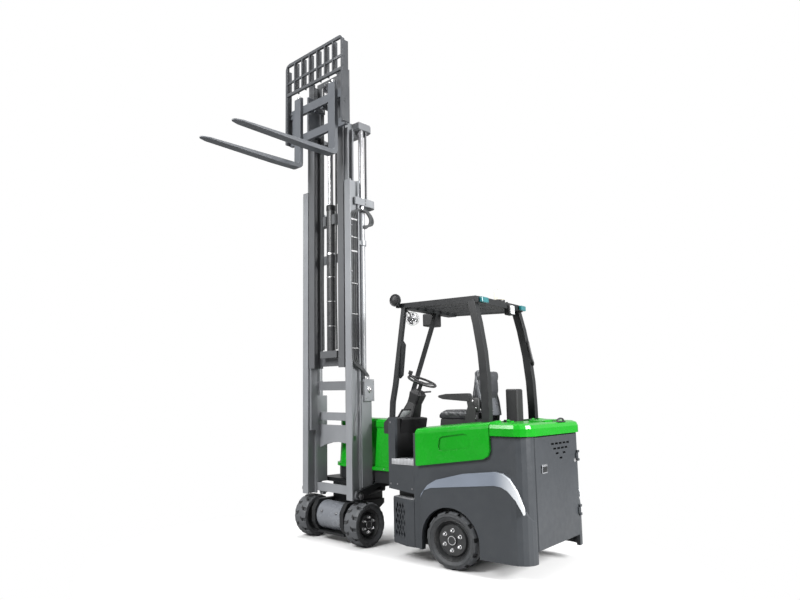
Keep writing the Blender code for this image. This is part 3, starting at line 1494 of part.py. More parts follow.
CARRIAGE_FOOT = 0.355  # rear lower edge of the carriage above the forks, clear of the drive drum
ROLLERS = (CARRIAGE_FOOT + 0.045, 0.675)  # heights in the carriage above the forks
HOOK_BARS = ((0.290, 0.375), (0.595, 0.685))


def make_carriage(carriage):
    """The fork carriage: rollers in the inner rails, two hook bars and the load backrest."""
    pieces = []
    z = HEEL_Z
    side_plate = rounded(
        [
            (0.275, z + CARRIAGE_FOOT, 0.02),
            (0.372, z + CARRIAGE_FOOT, 0.01),
            (0.390, z + 0.265, 0),
            (0.470, z + 0.265, 0),
            (0.470, z + 0.765, 0),
            (0.380, z + 0.765, 0.02),
            (0.275, z + 0.740, 0.02),
        ]
    )
    for side in (1, -1):
        y0, y1 = sorted((side * 0.148, side * 0.168))
        pieces.append(plate(side_plate, y0, y1, "XZ"))
        for roller in ROLLERS:
            pieces.append(
                rod(
                    (0.3045, side * 0.160, z + roller), (0.3045, side * 0.214, z + roller), 0.0440, sides=12
                ),
            )
        y0, y1 = sorted((side * 0.042, side * 0.070))
        pieces.append(block(0.330, 0.462, y0, y1, CHAIN_END_Z - 0.050, CHAIN_END_Z))
    bar_rear, bar_front = 0.448, FORK_REAR - SEAT
    for low, high in HOOK_BARS:
        pieces.append(block(bar_rear, bar_front, -0.425, 0.425, z + low, z + high))
    for side in (1, -1):
        pieces.append(block(bar_rear, bar_front, *sorted((side * 0.350, side * 0.390)), z + 0.34, z + 0.62))
    node("fork_carriage", carriage, "frame_dark", pieces)

    y, bar = BACKREST_HALF, 0.030
    low, top = z + 0.300, z + BACKREST_RISE
    sill = z + 0.838  # underside of the bar across the middle
    outside = rounded([(-y, low, 0.01), (y, low, 0.01), (y, top, 0.06), (-y, top, 0.06)], steps=4)
    inner = y - bar
    frame = plate(outside, 0.512, 0.540, "YZ")
    cutters = [block(0.45, 0.60, -inner, inner, low - 0.02, sill)]
    columns = 7
    pitch = 2 * inner / columns
    for i in range(columns):
        u0 = -inner + pitch * i + (0.009 if i else 0)
        u1 = -inner + pitch * (i + 1) - (0.009 if i < columns - 1 else 0)
        cutters.append(block(0.45, 0.60, u0, u1, sill + bar, top - bar))
    pieces = [combine([frame], cutters)]
    for side in (1, -1):
        wing = sorted((side * (y - 0.012), side * (y - 0.001)))
        pieces.append(block(0.462, 0.520, *wing, low + 0.010, top - 0.060))
        tab = sorted((side * (0.425 + SEAT), side * (y - 0.002)))
        pieces.append(block(0.450, 0.520, *tab, low + 0.002, z + 0.670))
    node("load_backrest", carriage, "frame_dark", pieces)


def make_fork(name, body, y):
    """One fork: a hooked shank and a tapered blade with a round tip."""
    heel = HEEL_Z
    rear, front = FORK_REAR, FORK_REAR + FORK_THICKNESS
    profile = rounded(
        [
            (rear, heel + FORK_SHANK, 0.01),
            (rear, heel, 0.05),
            (rear + 0.35, heel, 0),
            (front + FORK_LENGTH, heel + 0.026, 0),
            (front + FORK_LENGTH, heel + 0.036, 0),
            (front, heel + 0.044, 0.03),
            (front, heel + FORK_SHANK, 0.02),
        ],
        steps=3,
    )
    blade = plate(profile, y - FORK_WIDTH / 2, y + FORK_WIDTH / 2, "XZ")
    tip = front + FORK_LENGTH
    half = FORK_WIDTH / 2
    plan = [
        (rear - 0.1, y - half),
        (tip - 0.09, y - half),
        *arc((tip - 0.03, y), 0.030, -70, 70, steps=4),
        (tip - 0.09, y + half),
        (rear - 0.1, y + half),
    ]
    limit = plate(plan, heel - 0.1, heel + FORK_SHANK + 0.1)
    shaped = combine([blade, limit], operation="INTERSECT")
    node(name, body, "frame_dark", [shaped])


def make_tilt_cylinders(front):
    """The two tilt cylinders under the platform: each barrel swings on its anchor and its rod slides."""
    ax, az = TILT_ANCHOR
    ex, ez = TILT_EYE
    along = Vector((ex - ax, 0, ez - az)).normalized()
    for side, name in ((1, "left"), (-1, "right")):
        y = side * TILT_Y
        barrel_body = Body(f"tilt_barrel_{name}", front, (ax, y, az), shift=(MAST_X, 0, 0))
        rod_body = Body(f"tilt_rod_{name}", barrel_body, (ax, y, az))
        anchor = Vector((ax, y, az))
        eye = Vector((ex, y, ez))
        barrel = [
            rod(anchor + along * 0.012, anchor + along * 0.215, TILT_BARREL, sides=12),
            rod((ax, y - 0.0255, az), (ax, y + 0.0255, az), 0.022, sides=12),
        ]
        bores = [
            rod((ax, y - 0.04, az), (ax, y + 0.04, az), 0.009 + PIN_PLAY, sides=8),
            rod(anchor + along * 0.100, anchor + along * 0.260, TILT_ROD + PIN_PLAY, sides=12),
        ]
        node(f"tilt_barrel_{name}", barrel_body, "frame_dark", barrel, bores)
        stem = [
            rod(anchor + along * 0.125, eye - along * 0.048, TILT_ROD, sides=12),
            rod(anchor + along * 0.250, eye - along * 0.012, TILT_ROD * 0.7, sides=12),
            rod((ex, y - 0.0115, ez), (ex, y + 0.0115, ez), 0.019, sides=12),
        ]
        hole = rod((ex, y - 0.03, ez), (ex, y + 0.03, ez), 0.008 + 0.0012, sides=8)
        node(f"tilt_rod_{name}", rod_body, "chrome", stem, [hole])


def place_on_floor():
    """Moves the machine so that the centre of its base is the origin."""
    bpy.context.view_layer.update()
    graph = bpy.context.evaluated_depsgraph_get()
    corners = []
    for item in MACHINE.objects:
        if item.type != "MESH":
            continue
        evaluated = item.evaluated_get(graph)
        corners += [item.matrix_world @ vertex.co for vertex in evaluated.data.vertices]
    low = [min(corner[i] for corner in corners) for i in range(3)]
    high = [max(corner[i] for corner in corners) for i in range(3)]
    return Vector((-(low[0] + high[0]) / 2, -(low[1] + high[1]) / 2, -low[2]))


clear_scene()
MACHINE = bpy.data.collections.new("articulated_forklift")
bpy.context.scene.collection.children.link(MACHINE)

chassis_body = Body("chassis")
rear_bodies = [
    Body("wheel_rear_left", chassis_body, (REAR_AXLE_X, REAR_WHEEL_Y, REAR_TYRE_RADIUS)),
    Body("wheel_rear_right", chassis_body, (REAR_AXLE_X, -REAR_WHEEL_Y, REAR_TYRE_RADIUS)),
]
hood_body = Body("rear_hood", chassis_body, HOOD_HINGE)
door_body = Body("rear_door", chassis_body, (*DOOR_HINGE, 0.65))
steering_body = Body("steering_wheel", chassis_body, tuple(WHEEL_CENTRE))
front_body = Body("front_unit", chassis_body, (0, 0, 0), turn=ARTICULATION, shift=(PIN_X, 0, 0))
front_wheels = [
    Body("wheel_front_left", front_body, (FRONT_AXLE_X, FRONT_WHEEL_Y, FRONT_TYRE_RADIUS)),
    Body("wheel_front_right", front_body, (FRONT_AXLE_X, -FRONT_WHEEL_Y, FRONT_TYRE_RADIUS)),
]
mast_body = Body("outer_mast", front_body, (TILT_X, 0, TILT_Z), shift=(MAST_X, 0, 0))
middle_body = Body("middle_stage", mast_body, (TILT_X, 0, MIDDLE_Z))
inner_body = Body("inner_stage", middle_body, (TILT_X, 0, INNER_Z))
free_rod_body = Body("free_lift_rod", inner_body, (FREE_X, 0, PULLEY_Z))
carriage_body = Body("carriage", inner_body, (FORK_REAR, 0, HEEL_Z + 0.50))
fork_bodies = [
    Body("fork_left", carriage_body, (FORK_REAR, FORK_Y, HEEL_Z + 0.40)),
    Body("fork_right", carriage_body, (FORK_REAR, -FORK_Y, HEEL_Z + 0.40)),
]

make_side_bodies(chassis_body)
make_side_covers(chassis_body)
make_hood(hood_body)
make_rear_door(door_body)
make_chassis_frame(chassis_body)
make_masses(chassis_body)
make_rear_axle(chassis_body)
make_floor(chassis_body)
make_steps(chassis_body)
make_nose(chassis_body)
make_steering(chassis_body, steering_body)
make_seat(chassis_body)
make_guard(chassis_body)
make_guard_fittings(chassis_body)
for name, body in zip(("wheel_rear_left", "wheel_rear_right"), rear_bodies):
    make_wheel(name, body, REAR_TYRE_RADIUS, REAR_TYRE_WIDTH)
for name, body in zip(("wheel_front_left", "wheel_front_right"), front_wheels):
    make_wheel(name, body, FRONT_TYRE_RADIUS, FRONT_TYRE_WIDTH)
make_axle_frame(front_body)
make_outer_mast(mast_body)
make_mast_lines(mast_body)
make_lift_cylinders(mast_body, middle_body)
make_middle_stage(middle_body)
make_inner_stage(inner_body)
make_free_lift(free_rod_body)
make_lift_chains(middle_body)
make_carriage(carriage_body)
make_fork("fork_left", fork_bodies[0], FORK_Y)
make_fork("fork_right", fork_bodies[1], -FORK_Y)
make_tilt_cylinders(front_body)

chassis_body.empty.location = place_on_floor()
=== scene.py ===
import json
import math

import bmesh
import bpy
from mathutils import Matrix, Vector


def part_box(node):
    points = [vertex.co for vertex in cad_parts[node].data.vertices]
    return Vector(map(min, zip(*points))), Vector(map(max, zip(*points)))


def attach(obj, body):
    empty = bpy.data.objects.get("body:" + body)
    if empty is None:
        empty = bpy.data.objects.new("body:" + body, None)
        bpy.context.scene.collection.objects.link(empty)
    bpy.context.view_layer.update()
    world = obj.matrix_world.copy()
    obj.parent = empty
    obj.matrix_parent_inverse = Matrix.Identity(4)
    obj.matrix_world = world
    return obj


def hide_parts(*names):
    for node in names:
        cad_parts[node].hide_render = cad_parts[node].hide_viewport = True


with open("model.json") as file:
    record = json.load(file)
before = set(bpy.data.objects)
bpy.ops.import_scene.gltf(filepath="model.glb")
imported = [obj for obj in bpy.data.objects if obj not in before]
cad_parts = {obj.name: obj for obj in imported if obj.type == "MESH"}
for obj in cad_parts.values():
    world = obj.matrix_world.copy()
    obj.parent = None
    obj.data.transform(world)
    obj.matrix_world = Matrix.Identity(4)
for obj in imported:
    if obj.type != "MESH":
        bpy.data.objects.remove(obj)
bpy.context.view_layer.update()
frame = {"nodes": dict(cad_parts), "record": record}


def joint_place(name):
    """The place that the record gives a joint."""
    joints = frame["record"]["behaviour"]["joints"]
    return Vector(next(joint["pos_m"] for joint in joints if joint["name"] == name))


# Where the solids are drawn: the chassis, the front unit turned about the articulation pin, and the mast
# ahead of the pin. Lengths are in metres.

FRONT_TURN = math.radians(83.0)
PIN_X = -0.101  # articulation pin along the chassis
MAST_X = 0.105  # mast ahead of the pin
PIN = joint_place("articulation")
PIN.z = 0.0
CHASSIS = Matrix.Translation(PIN - Vector((PIN_X, 0.0, 0.0)))
FRONT = Matrix.Translation(PIN) @ Matrix.Rotation(FRONT_TURN, 4, "Z")
MAST = FRONT @ Matrix.Translation((MAST_X, 0.0, 0.0))

# Sizes of the wheels, the drum and the chassis, as the solids have them

FIT_GAP = 0.0003  # between faces that touch
FRONT_TYRE = (0.203, 0.165)  # radius and width
REAR_TYRE = (0.2285, 0.155)
TYRE_WALL = 0.062  # rubber between the rim and the tread
TREAD_BLOCKS = 12
RIM_DEPTH = 0.020  # the rim's faces inside the tyre's sides
RIM_BOSS = 0.040  # radius of the rim's raised middle
WHEEL_NUTS = 6
NUT_TURN = 33.0  # degrees from level to the first nut
# Rings on a tyre's side: share of the way from the bead to the shoulder, half width and rise
SIDE_RINGS = ((0.055, 0.006, 0.0064), (0.140, 0.010, 0.0058), (0.720, 0.004, 0.0040))
DRUM_AXLE = (0.314, 0.231)  # x and z in the front unit
DRUM_RADIUS = 0.1362
DOOR_X = -2.130  # rear face of the rear door
FLOOR_Z = 0.845
STEP_Z = 0.515
# x and y around the left step's tread plate
STEP_PLATE = ((-1.105, 0.300), (-1.105, 0.570), (-1.030, 0.568), (-0.852, 0.492), (-0.852, 0.300))

# Sizes of the mast, from the floor, in the pose of the photograph

STAGE_LIFT = 0.620
FREE_LIFT = 2.475
FORK_BOTTOM = 0.040
HEEL_Z = FORK_BOTTOM + 2 * STAGE_LIFT + FREE_LIFT
STAGE_BOTTOM = 0.430
STAGE_LENGTH = FREE_LIFT + 0.560
BOW_Z = STAGE_BOTTOM + STAGE_LIFT + STAGE_LENGTH  # underside of the middle stage's bow
FREE_X = 0.292  # axis of the free-lift cylinder
FREE_BARREL = 0.044
FREE_BARREL_TOP = 3.335
BARREL_BANDS = ((2.830, 0.018), (2.590, 0.006), (2.340, 0.006), (2.090, 0.006))  # z and height
PULLEY_Z = FREE_BARREL_TOP + FREE_LIFT / 2 + 0.060
PULLEY_RADIUS = 0.045
CHAIN_PITCH = 0.01905
CHAIN_ROWS = 5
FORK_Y = 0.262
WEB_HALF = 0.412  # half the width that the backrest's webs divide
WEB_COLUMNS = 7
NOTCHES = 13  # in the upper fork bar
NOTCH_PITCH = 0.060
TILT_PIN = (0.296, 0.470)  # x and z
VALVE_PORT = (0.150, 0.384, 1.455)
HOSE_XS = (0.292, 0.317, 0.342)
HOSE_Y = 0.350
HOSE_RADIUS = 0.0115
# z and height of each clamp
HOSE_CLAMPS = ((3.12, 0.016), (2.94, 0.007), (2.80, 0.016), (2.48, 0.007), (2.18, 0.007), (1.85, 0.009))

# Seat and cab

CUSHION_START = 0.955  # size of a cushion before it is blown up, as a share of its solid
CUSHION_SWELL = 0.012  # the most that it grows
CUSHION_FRAMES = 20
BACKREST_LEAN = math.radians(12)
FAN_WIRES = 14

# The photograph's camera: its picture in pixels, its place and its line of sight in the chassis' frame

PHOTO_WIDTH, PHOTO_HEIGHT = 800, 600
FOCAL_PIXELS = 664.48
SIGHT_X, SIGHT_Y = 309.2, 308.07
CAMERA_PLACE = (-4.310, 5.527, 1.390)
CAMERA_YAW, CAMERA_PITCH = math.radians(-48.41), math.radians(7.57)


# Shader values and finishes


class Value:
    """A number, colour or vector that varies over a surface, with arithmetic for numbers."""

    def __init__(self, finish, socket):
        self.finish = finish
        self.socket = socket

    def __add__(self, other):
        return self.finish.maths("ADD", self, other)

    def __radd__(self, other):
        return self.finish.maths("ADD", other, self)

    def __sub__(self, other):
        return self.finish.maths("SUBTRACT", self, other)

    def __rsub__(self, other):
        return self.finish.maths("SUBTRACT", other, self)

    def __mul__(self, other):
        return self.finish.maths("MULTIPLY", self, other)

    def __rmul__(self, other):
        return self.finish.maths("MULTIPLY", other, self)

    def ramp(self, low, high, curve="SMOOTHSTEP"):
        """0 below low and 1 above high, with a smooth or a LINEAR change between them."""
        sockets = {"Value": self, "From Min": low, "From Max": high}
        return self.finish.node("ShaderNodeMapRange", {"interpolation_type": curve}, sockets)


class Finish:
    """A material under construction around one Principled shader."""

    def __init__(self, name):
        self.material = bpy.data.materials.new(name)
        self.material.use_nodes = True
        self.tree = self.material.node_tree
        self.shader = self.tree.nodes["Principled BSDF"]
        self.place = self.node("ShaderNodeTexCoord", output="Object")

    def feed(self, slot, value):
        """Links a value to a socket, or sets a plain number, colour or vector on it."""
        if isinstance(value, Value):
            self.tree.links.new(value.socket, slot)
        else:
            slot.default_value = value

    def node(self, kind, settings=None, sockets=None, output=0):
        """Adds a node of a type, with its settings and what its sockets get, and gives one output."""
        node = self.tree.nodes.new(kind)
        for key, value in (settings or {}).items():
            setattr(node, key, value)
        for key, value in (sockets or {}).items():
            self.feed(node.inputs[key], value)
        return Value(self, node.outputs[output])

    def maths(self, operation, *values):
        """A Math node on numbers."""
        return self.node("ShaderNodeMath", {"operation": operation}, dict(enumerate(values)))

    def noise(self, scale, detail=4.0, rough=0.55, where=None):
        """Cloudy noise between 0 and 1."""
        sockets = {"Vector": where or self.place, "Scale": scale, "Detail": detail, "Roughness": rough}
        return self.node("ShaderNodeTexNoise", sockets=sockets)

    def pits(self, scale):
        """Small rounded cells, 0 in their middles."""
        sockets = {"Vector": self.place, "Scale": scale}
        return self.node("ShaderNodeTexVoronoi", {"feature": "SMOOTH_F1"}, sockets)

    def part(self, axis, vector=None):
        """One component of a vector, or else of the place."""
        return self.node("ShaderNodeSeparateXYZ", sockets={0: vector or self.place}, output=axis)

    def dot(self, first, second):
        """The dot product of two vectors."""
        settings = {"operation": "DOT_PRODUCT"}
        return self.node("ShaderNodeVectorMath", settings, {0: first, 1: second}, output="Value")

    def mix(self, factor, first, second):
        """A colour that is the first where the factor is 0 and the second where it is 1."""
        first, second = (c if isinstance(c, Value) else (*c, 1.0) for c in (first, second))
        sockets = {0: factor, 6: first, 7: second}
        return self.node("ShaderNodeMix", {"data_type": "RGBA"}, sockets, output=2)

    def edges(self, radius):
        """How near an edge a point is, 0 on a flat and about 1 at an edge, and the rounded normal."""
        soft = self.node("ShaderNodeBevel", {"samples": 4}, {"Radius": radius})
        flat = self.node("ShaderNodeNewGeometry", output="Normal")
        return (1.0 - self.dot(soft, flat)).ramp(0.02, 0.25), soft

    def relief(self, height, distance, strength, normal=None):
        """A normal that follows a height."""
        sockets = {"Height": height, "Distance": distance, "Strength": strength}
        if normal:
            sockets["Normal"] = normal
        return self.node("ShaderNodeBump", sockets=sockets)

    def done(self, **values):
        """Feeds the Principled shader's sockets by name and gives the material."""
        for key, value in values.items():
            self.feed(self.shader.inputs[key.replace("_", " ")], value)
        return self.material


def shade(colour, factor, lift=0.0):
    """A colour made darker or lighter by a factor, after a lift."""
    return tuple(min(1.0, (c + lift) * factor) for c in colour)


def paint(name, colour, roughness, dust, edge, coat=0.0, peel=0.00012, sheen=0.5, pale=None):
    """Sprayed or powder-coated metal: a fine orange peel, faint dust, and edges made lighter, partly rubbed
    wear and partly a painted highlight.

    With pale, a start and an end along X and a colour, the paint is that colour behind the start, as a
    painted highlight.
    """
    f = Finish(name)
    cloud = f.noise(2.2, 3.0).ramp(0.35, 0.7)
    grain = f.noise(420.0, 2.0, 0.6)
    near, soft = f.edges(0.004)
    tone = f.mix(cloud, shade(colour, 0.93), shade(colour, 1.06))
    low = 1.0 - f.part(2).ramp(0.05, 0.9)
    dirt = f.noise(9.0, 6.0, 0.65).ramp(0.42, 0.75) * (low * 0.7 + 0.3) * dust
    tone = f.mix(dirt, tone, (0.16, 0.15, 0.135))
    # Edges lighter where the noise lets them: partly rubbed wear, partly a painted highlight.
    worn = near * f.noise(38.0, 5.0, 0.7).ramp(0.45, 0.7) * edge
    tone = f.mix(worn, tone, shade(colour, 1.8, 0.03))
    # Painted highlight: the paint turns a lighter colour behind a start along X.
    if pale:
        start, end, light = pale
        tone = f.mix(1.0 - f.part(0).ramp(start, end), tone, light)
    rough = f.noise(16.0, 4.0).ramp(0.3, 0.75) * 0.12 + (roughness - 0.05) + dirt * 0.4
    return f.done(
        Specular_IOR_Level=sheen,
        Base_Color=tone,
        Roughness=rough,
        Coat_Weight=coat,
        Coat_Roughness=0.12,
        Normal=f.relief(grain, peel, 0.6, soft),
    )


def moulded(name, colour, roughness=0.5):
    """Grained plastic: small pits, a little worn smoother on its edges and paler there, partly wear and
    partly a painted highlight.
    """
    f = Finish(name)
    pits = f.pits(900.0)
    near, soft = f.edges(0.003)
    cloud = f.noise(6.0, 4.0).ramp(0.3, 0.7)
    tone = f.mix(cloud, shade(colour, 0.85), shade(colour, 1.2))
    # Edges paler: partly wear, partly a painted highlight.
    tone = f.mix(near * 0.25, tone, shade(colour, 2.0, 0.02))
    rough = cloud * 0.1 + (roughness - 0.05) - near * 0.08
    return f.done(Base_Color=tone, Roughness=rough, Normal=f.relief(pits, 0.0001, 0.7, soft))


def rubber(name, colour):
    """Plain rubber of hoses and of the rings on the tyres' sides, a little paler on its edges as a painted
    highlight.
    """
    f = Finish(name)
    near, soft = f.edges(0.004)
    cloud = f.noise(24.0, 6.0, 0.7)
    tone = f.mix(cloud.ramp(0.35, 0.7), shade(colour, 0.8), shade(colour, 1.5))
    # Painted highlight: edges paler.
    tone = f.mix(near * 0.4, tone, shade(colour, 2.4))
    grain = f.noise(160.0, 5.0, 0.7)
    return f.done(Base_Color=tone, Roughness=cloud * 0.15 + 0.68, Normal=f.relief(grain, 0.0006, 0.5, soft))


def tyre(name, centre, forward, across, radius, width):
    """Solid tyre rubber with painted shade in the grooves between the tread's lugs, in line with the
    solid's notches, a tread painted lighter and a painted highlight on its edges.
    """
    f = Finish(name)
    colour = (0.040, 0.042, 0.045)
    offset = f.node("ShaderNodeVectorMath", {"operation": "SUBTRACT"}, {0: f.place, 1: centre})
    ahead, side, up = f.dot(offset, forward), f.dot(offset, across), f.part(2, offset)
    reach = f.maths("ABSOLUTE", side)
    out = f.maths("SQRT", ahead * ahead + up * up)
    turn = f.maths("ARCTAN2", ahead, up) * (TREAD_BLOCKS / (2 * math.pi))
    slant = (width / 2 - 0.045 - reach).ramp(0.0, 0.04, "LINEAR") * 0.3
    phase = f.maths("FRACT", turn - f.maths("SIGN", side) * 0.25 + slant + 0.5)
    groove = 1.0 - f.maths("ABSOLUTE", phase - 0.5).ramp(0.12, 0.17)
    tread = out.ramp(radius - 0.016, radius - 0.010)
    cut = groove * reach.ramp(0.008, 0.016) * tread
    near, soft = f.edges(0.003)
    cloud = f.noise(24.0, 6.0, 0.7)
    tone = f.mix(cloud.ramp(0.35, 0.7), shade(colour, 0.85), shade(colour, 1.3))
    # The tread is painted lighter: partly dust, partly a painted highlight where it catches the light.
    tone = f.mix(tread * 0.8, tone, shade(colour, 2.1))
    # Painted shade: the grooves between the lugs are darkened.
    tone = f.mix(cut, tone, shade(colour, 0.22))
    # Painted highlight: edges paler.
    tone = f.mix(near * 0.5, tone, shade(colour, 2.6))
    grain = f.noise(160.0, 5.0, 0.7) * 0.1 - cut
    return f.done(Base_Color=tone, Roughness=cloud * 0.15 + 0.55, Normal=f.relief(grain, 0.006, 0.6, soft))


def polished(name, colour, roughness):
    """Plated or ground bar: bright, with faint streaks up it and a film of oil."""
    f = Finish(name)
    squeeze = {0: f.place, 1: (60.0, 60.0, 4.0)}
    squeezed = f.node("ShaderNodeVectorMath", {"operation": "MULTIPLY"}, squeeze)
    lines = f.noise(30.0, 4.0, 0.6, where=squeezed)
    film = f.noise(5.0, 3.0).ramp(0.4, 0.7)
    tone = f.mix(film, colour, shade(colour, 0.86))
    return f.done(Base_Color=tone, Metallic=1.0, Roughness=lines * 0.1 + film * 0.06 + (roughness - 0.05))


def vinyl(name, colour):
    """Black seat vinyl with a leather grain."""
    f = Finish(name)
    grain = f.pits(520.0) * 0.7 + f.noise(700.0, 3.0) * 0.4
    worn = f.noise(7.0, 5.0, 0.6).ramp(0.4, 0.75)
    tone = f.mix(worn, shade(colour, 0.85), shade(colour, 1.5))
    return f.done(Base_Color=tone, Roughness=worn * 0.12 + 0.42, Normal=f.relief(grain, 0.0004, 0.6))


def lamp_glass(name, colour):
    """A glossy moulded lens with fine ribs."""
    f = Finish(name)
    ribs = f.node("ShaderNodeTexWave", {"wave_type": "BANDS"}, {"Vector": f.place, "Scale": 60.0})
    cloud = f.noise(30.0, 3.0)
    tone = f.mix(cloud.ramp(0.3, 0.7), shade(colour, 0.85), colour)
    return f.done(Base_Color=tone, Roughness=0.12, Coat_Weight=0.6, Normal=f.relief(ribs, 0.0006, 0.5))


def checker_plate(name, colour):
    """Raised lozenges in crossed rows on rolled plate, rubbed bright on their tops."""
    f = Finish(name)
    u, v = f.part(0), f.part(1)
    rising = f.maths("SINE", (u + v) * 210.0)
    falling = f.maths("SINE", (u - v) * 210.0)
    lozenges = f.maths("ABSOLUTE", rising * falling).ramp(0.35, 0.75)
    film = f.noise(26.0, 5.0, 0.65).ramp(0.35, 0.75)
    tone = f.mix(lozenges * 0.6 + film * 0.3, shade(colour, 0.45), colour)
    rough = 0.55 - lozenges * 0.2 + film * 0.1
    return f.done(Base_Color=tone, Metallic=0.25, Roughness=rough, Normal=f.relief(lozenges, 0.0012, 0.8))


GREEN = (0.003, 0.250, 0.007)
ARCH_GREY = (0.150, 0.174, 0.215)
ARCH_HIGHLIGHT = (-1.25, -0.98, (0.62, 0.64, 0.66))  # the arch trims catch the light behind the wheel's middle
# The three numbers after a paint's colour are its roughness, its dust and how much its edges are made
# lighter, partly as wear and partly as a painted highlight
FINISHES = {
    "green": paint("green_paint", GREEN, 0.26, 0.01, 0.02, coat=0.25, peel=0.000004, sheen=0.25),
    "body_grey": paint("body_grey_paint", (0.032, 0.036, 0.041), 0.40, 0.04, 0.15, peel=0.00008, sheen=0.4),
    "trim_blue_grey": paint("arch_trim_paint", ARCH_GREY, 0.34, 0.03, 0.1, coat=0.3, pale=ARCH_HIGHLIGHT),
    "mast_grey": paint("mast_paint", (0.205, 0.213, 0.225), 0.34, 0.06, 0.25),
    "frame_dark": paint("frame_paint", (0.011, 0.012, 0.013), 0.40, 0.05, 0.3, sheen=0.3),
    "black_plastic": moulded("black_plastic", (0.009, 0.009, 0.010)),
    "rubber": rubber("tyre_rubber", (0.034, 0.036, 0.038)),
    "rim_black": paint("rim_paint", (0.016, 0.017, 0.018), 0.34, 0.08, 0.5),
    "chrome": polished("chrome_plate", (0.62, 0.62, 0.64), 0.18),
    "seat_vinyl": vinyl("seat_vinyl", (0.030, 0.031, 0.035)),
    "steel": polished("oiled_steel", (0.24, 0.24, 0.25), 0.36),
    "lens": lamp_glass("beacon_lens", (0.80, 0.77, 0.66)),
}
LIFTING = paint("carriage_paint", (0.078, 0.084, 0.094), 0.34, 0.05, 0.3)
BACKREST = paint("backrest_paint", (0.050, 0.053, 0.058), 0.32, 0.05, 0.3)
MIDDLE = paint("middle_stage_paint", (0.150, 0.156, 0.165), 0.34, 0.06, 0.25)
# The inner stage is the mast's grey painted darker: painted shade for the shadow between the rails.
INNER_SHADED = paint("inner_stage_shaded_paint", (0.085, 0.088, 0.093), 0.36, 0.06, 0.25)
DRUM = paint("drum_paint", (0.150, 0.160, 0.178), 0.24, 0.04, 0.1, coat=0.5)
BARREL = paint("barrel_paint", (0.030, 0.031, 0.033), 0.30, 0.05, 0.3, coat=0.3)
BRIGHT = polished("bright_steel", (0.78, 0.78, 0.79), 0.24)
CLEAR = lamp_glass("clear_glass", (0.60, 0.62, 0.63))
TAIL_GLASS = lamp_glass("tail_glass", (0.010, 0.130, 0.145))
SEAT_SHELL = moulded("seat_shell", (0.075, 0.079, 0.088), 0.45)
PIPING = moulded("piping", (0.17, 0.175, 0.185), 0.45)
TREAD_PLATE = checker_plate("tread_plate", (0.55, 0.56, 0.58))
OWN_FINISHES = {
    "inner_mast": INNER_SHADED,
    "middle_mast": MIDDLE,
    "fork_left": LIFTING,
    "fork_right": LIFTING,
    "fork_carriage": LIFTING,
    "load_backrest": BACKREST,
    "free_lift_barrel": BARREL,
    "tail_lamp_left": TAIL_GLASS,
    "tail_lamp_right": TAIL_GLASS,
}
for part in frame["record"]["subparts"]:
    solid = frame["nodes"][part["node"]]
    solid.data.materials.clear()
    solid.data.materials.append(OWN_FINISHES.get(part["node"], FINISHES[part["material_slot"]]))


# Shapes that the added pieces are built from


def mesh_piece(name, bm, finish, body, smooth=True, angle=35.0):
    """A finished mesh that rides on a body, smooth but for the edges sharper than an angle."""
    mesh = bpy.data.meshes.new(name)
    bmesh.ops.recalc_face_normals(bm, faces=bm.faces[:])
    bm.to_mesh(mesh)
    bm.free()
    if smooth:
        mesh.shade_smooth()
        mesh.set_sharp_from_angle(angle=math.radians(angle))
    piece = bpy.data.objects.new(name, mesh)
    bpy.context.scene.collection.objects.link(piece)
    mesh.materials.append(finish)
    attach(piece, body)
    return piece


def add_ring(bm, matrix, profile, steps):
    """A profile of radius and height pairs, turned about the matrix's Z axis."""
    rings = []
    for radius, height in profile:
        if radius < 1e-6:
            rings.append([bm.verts.new(matrix @ Vector((0.0, 0.0, height)))])
            continue
        ring = []
        for i in range(steps):
            a = 2 * math.pi * i / steps
            ring.append(bm.verts.new(matrix @ Vector((radius * math.cos(a), radius * math.sin(a), height))))
        rings.append(ring)
    for low, high in zip(rings, rings[1:]):
        for i in range(steps):
            j = (i + 1) % steps
            corners = [low[i % len(low)], low[j % len(low)], high[j % len(high)], high[i % len(high)]]
            corners = list(dict.fromkeys(corners))
            if len(corners) > 2:
                bm.faces.new(corners)


def add_box(bm, matrix, size, bevel, segments=2):
    """A rounded box of a size, centred on the matrix."""
    verts = bmesh.ops.create_cube(bm, size=1.0)["verts"]
    bmesh.ops.scale(bm, vec=size, verts=verts)
    edges = list(dict.fromkeys(edge for vert in verts for edge in vert.link_edges))
    rounded = bmesh.ops.bevel(bm, geom=edges, offset=bevel, segments=segments, profile=0.5, affect="EDGES")
    bmesh.ops.transform(bm, matrix=matrix, verts=rounded["verts"])


def add_tube(bm, points, radius, sides=12, caps=True):
    """A round bar along a smooth chain of points."""
    points = [Vector(p) for p in points]
    rings = []
    normal = (points[1] - points[0]).normalized().orthogonal().normalized()
    for i, here in enumerate(points):
        ahead = (points[min(i + 1, len(points) - 1)] - points[max(i - 1, 0)]).normalized()
        normal = (normal - ahead * normal.dot(ahead)).normalized()
        across = ahead.cross(normal)
        ring = []
        for k in range(sides):
            a = 2 * math.pi * k / sides
            spoke = normal * (radius * math.cos(a)) + across * (radius * math.sin(a))
            ring.append(bm.verts.new(here + spoke))
        rings.append(ring)
    for low, high in zip(rings, rings[1:]):
        for k in range(sides):
            j = (k + 1) % sides
            bm.faces.new((low[k], low[j], high[j], high[k]))
    if caps:
        bm.faces.new(rings[0][::-1])
        bm.faces.new(rings[-1])


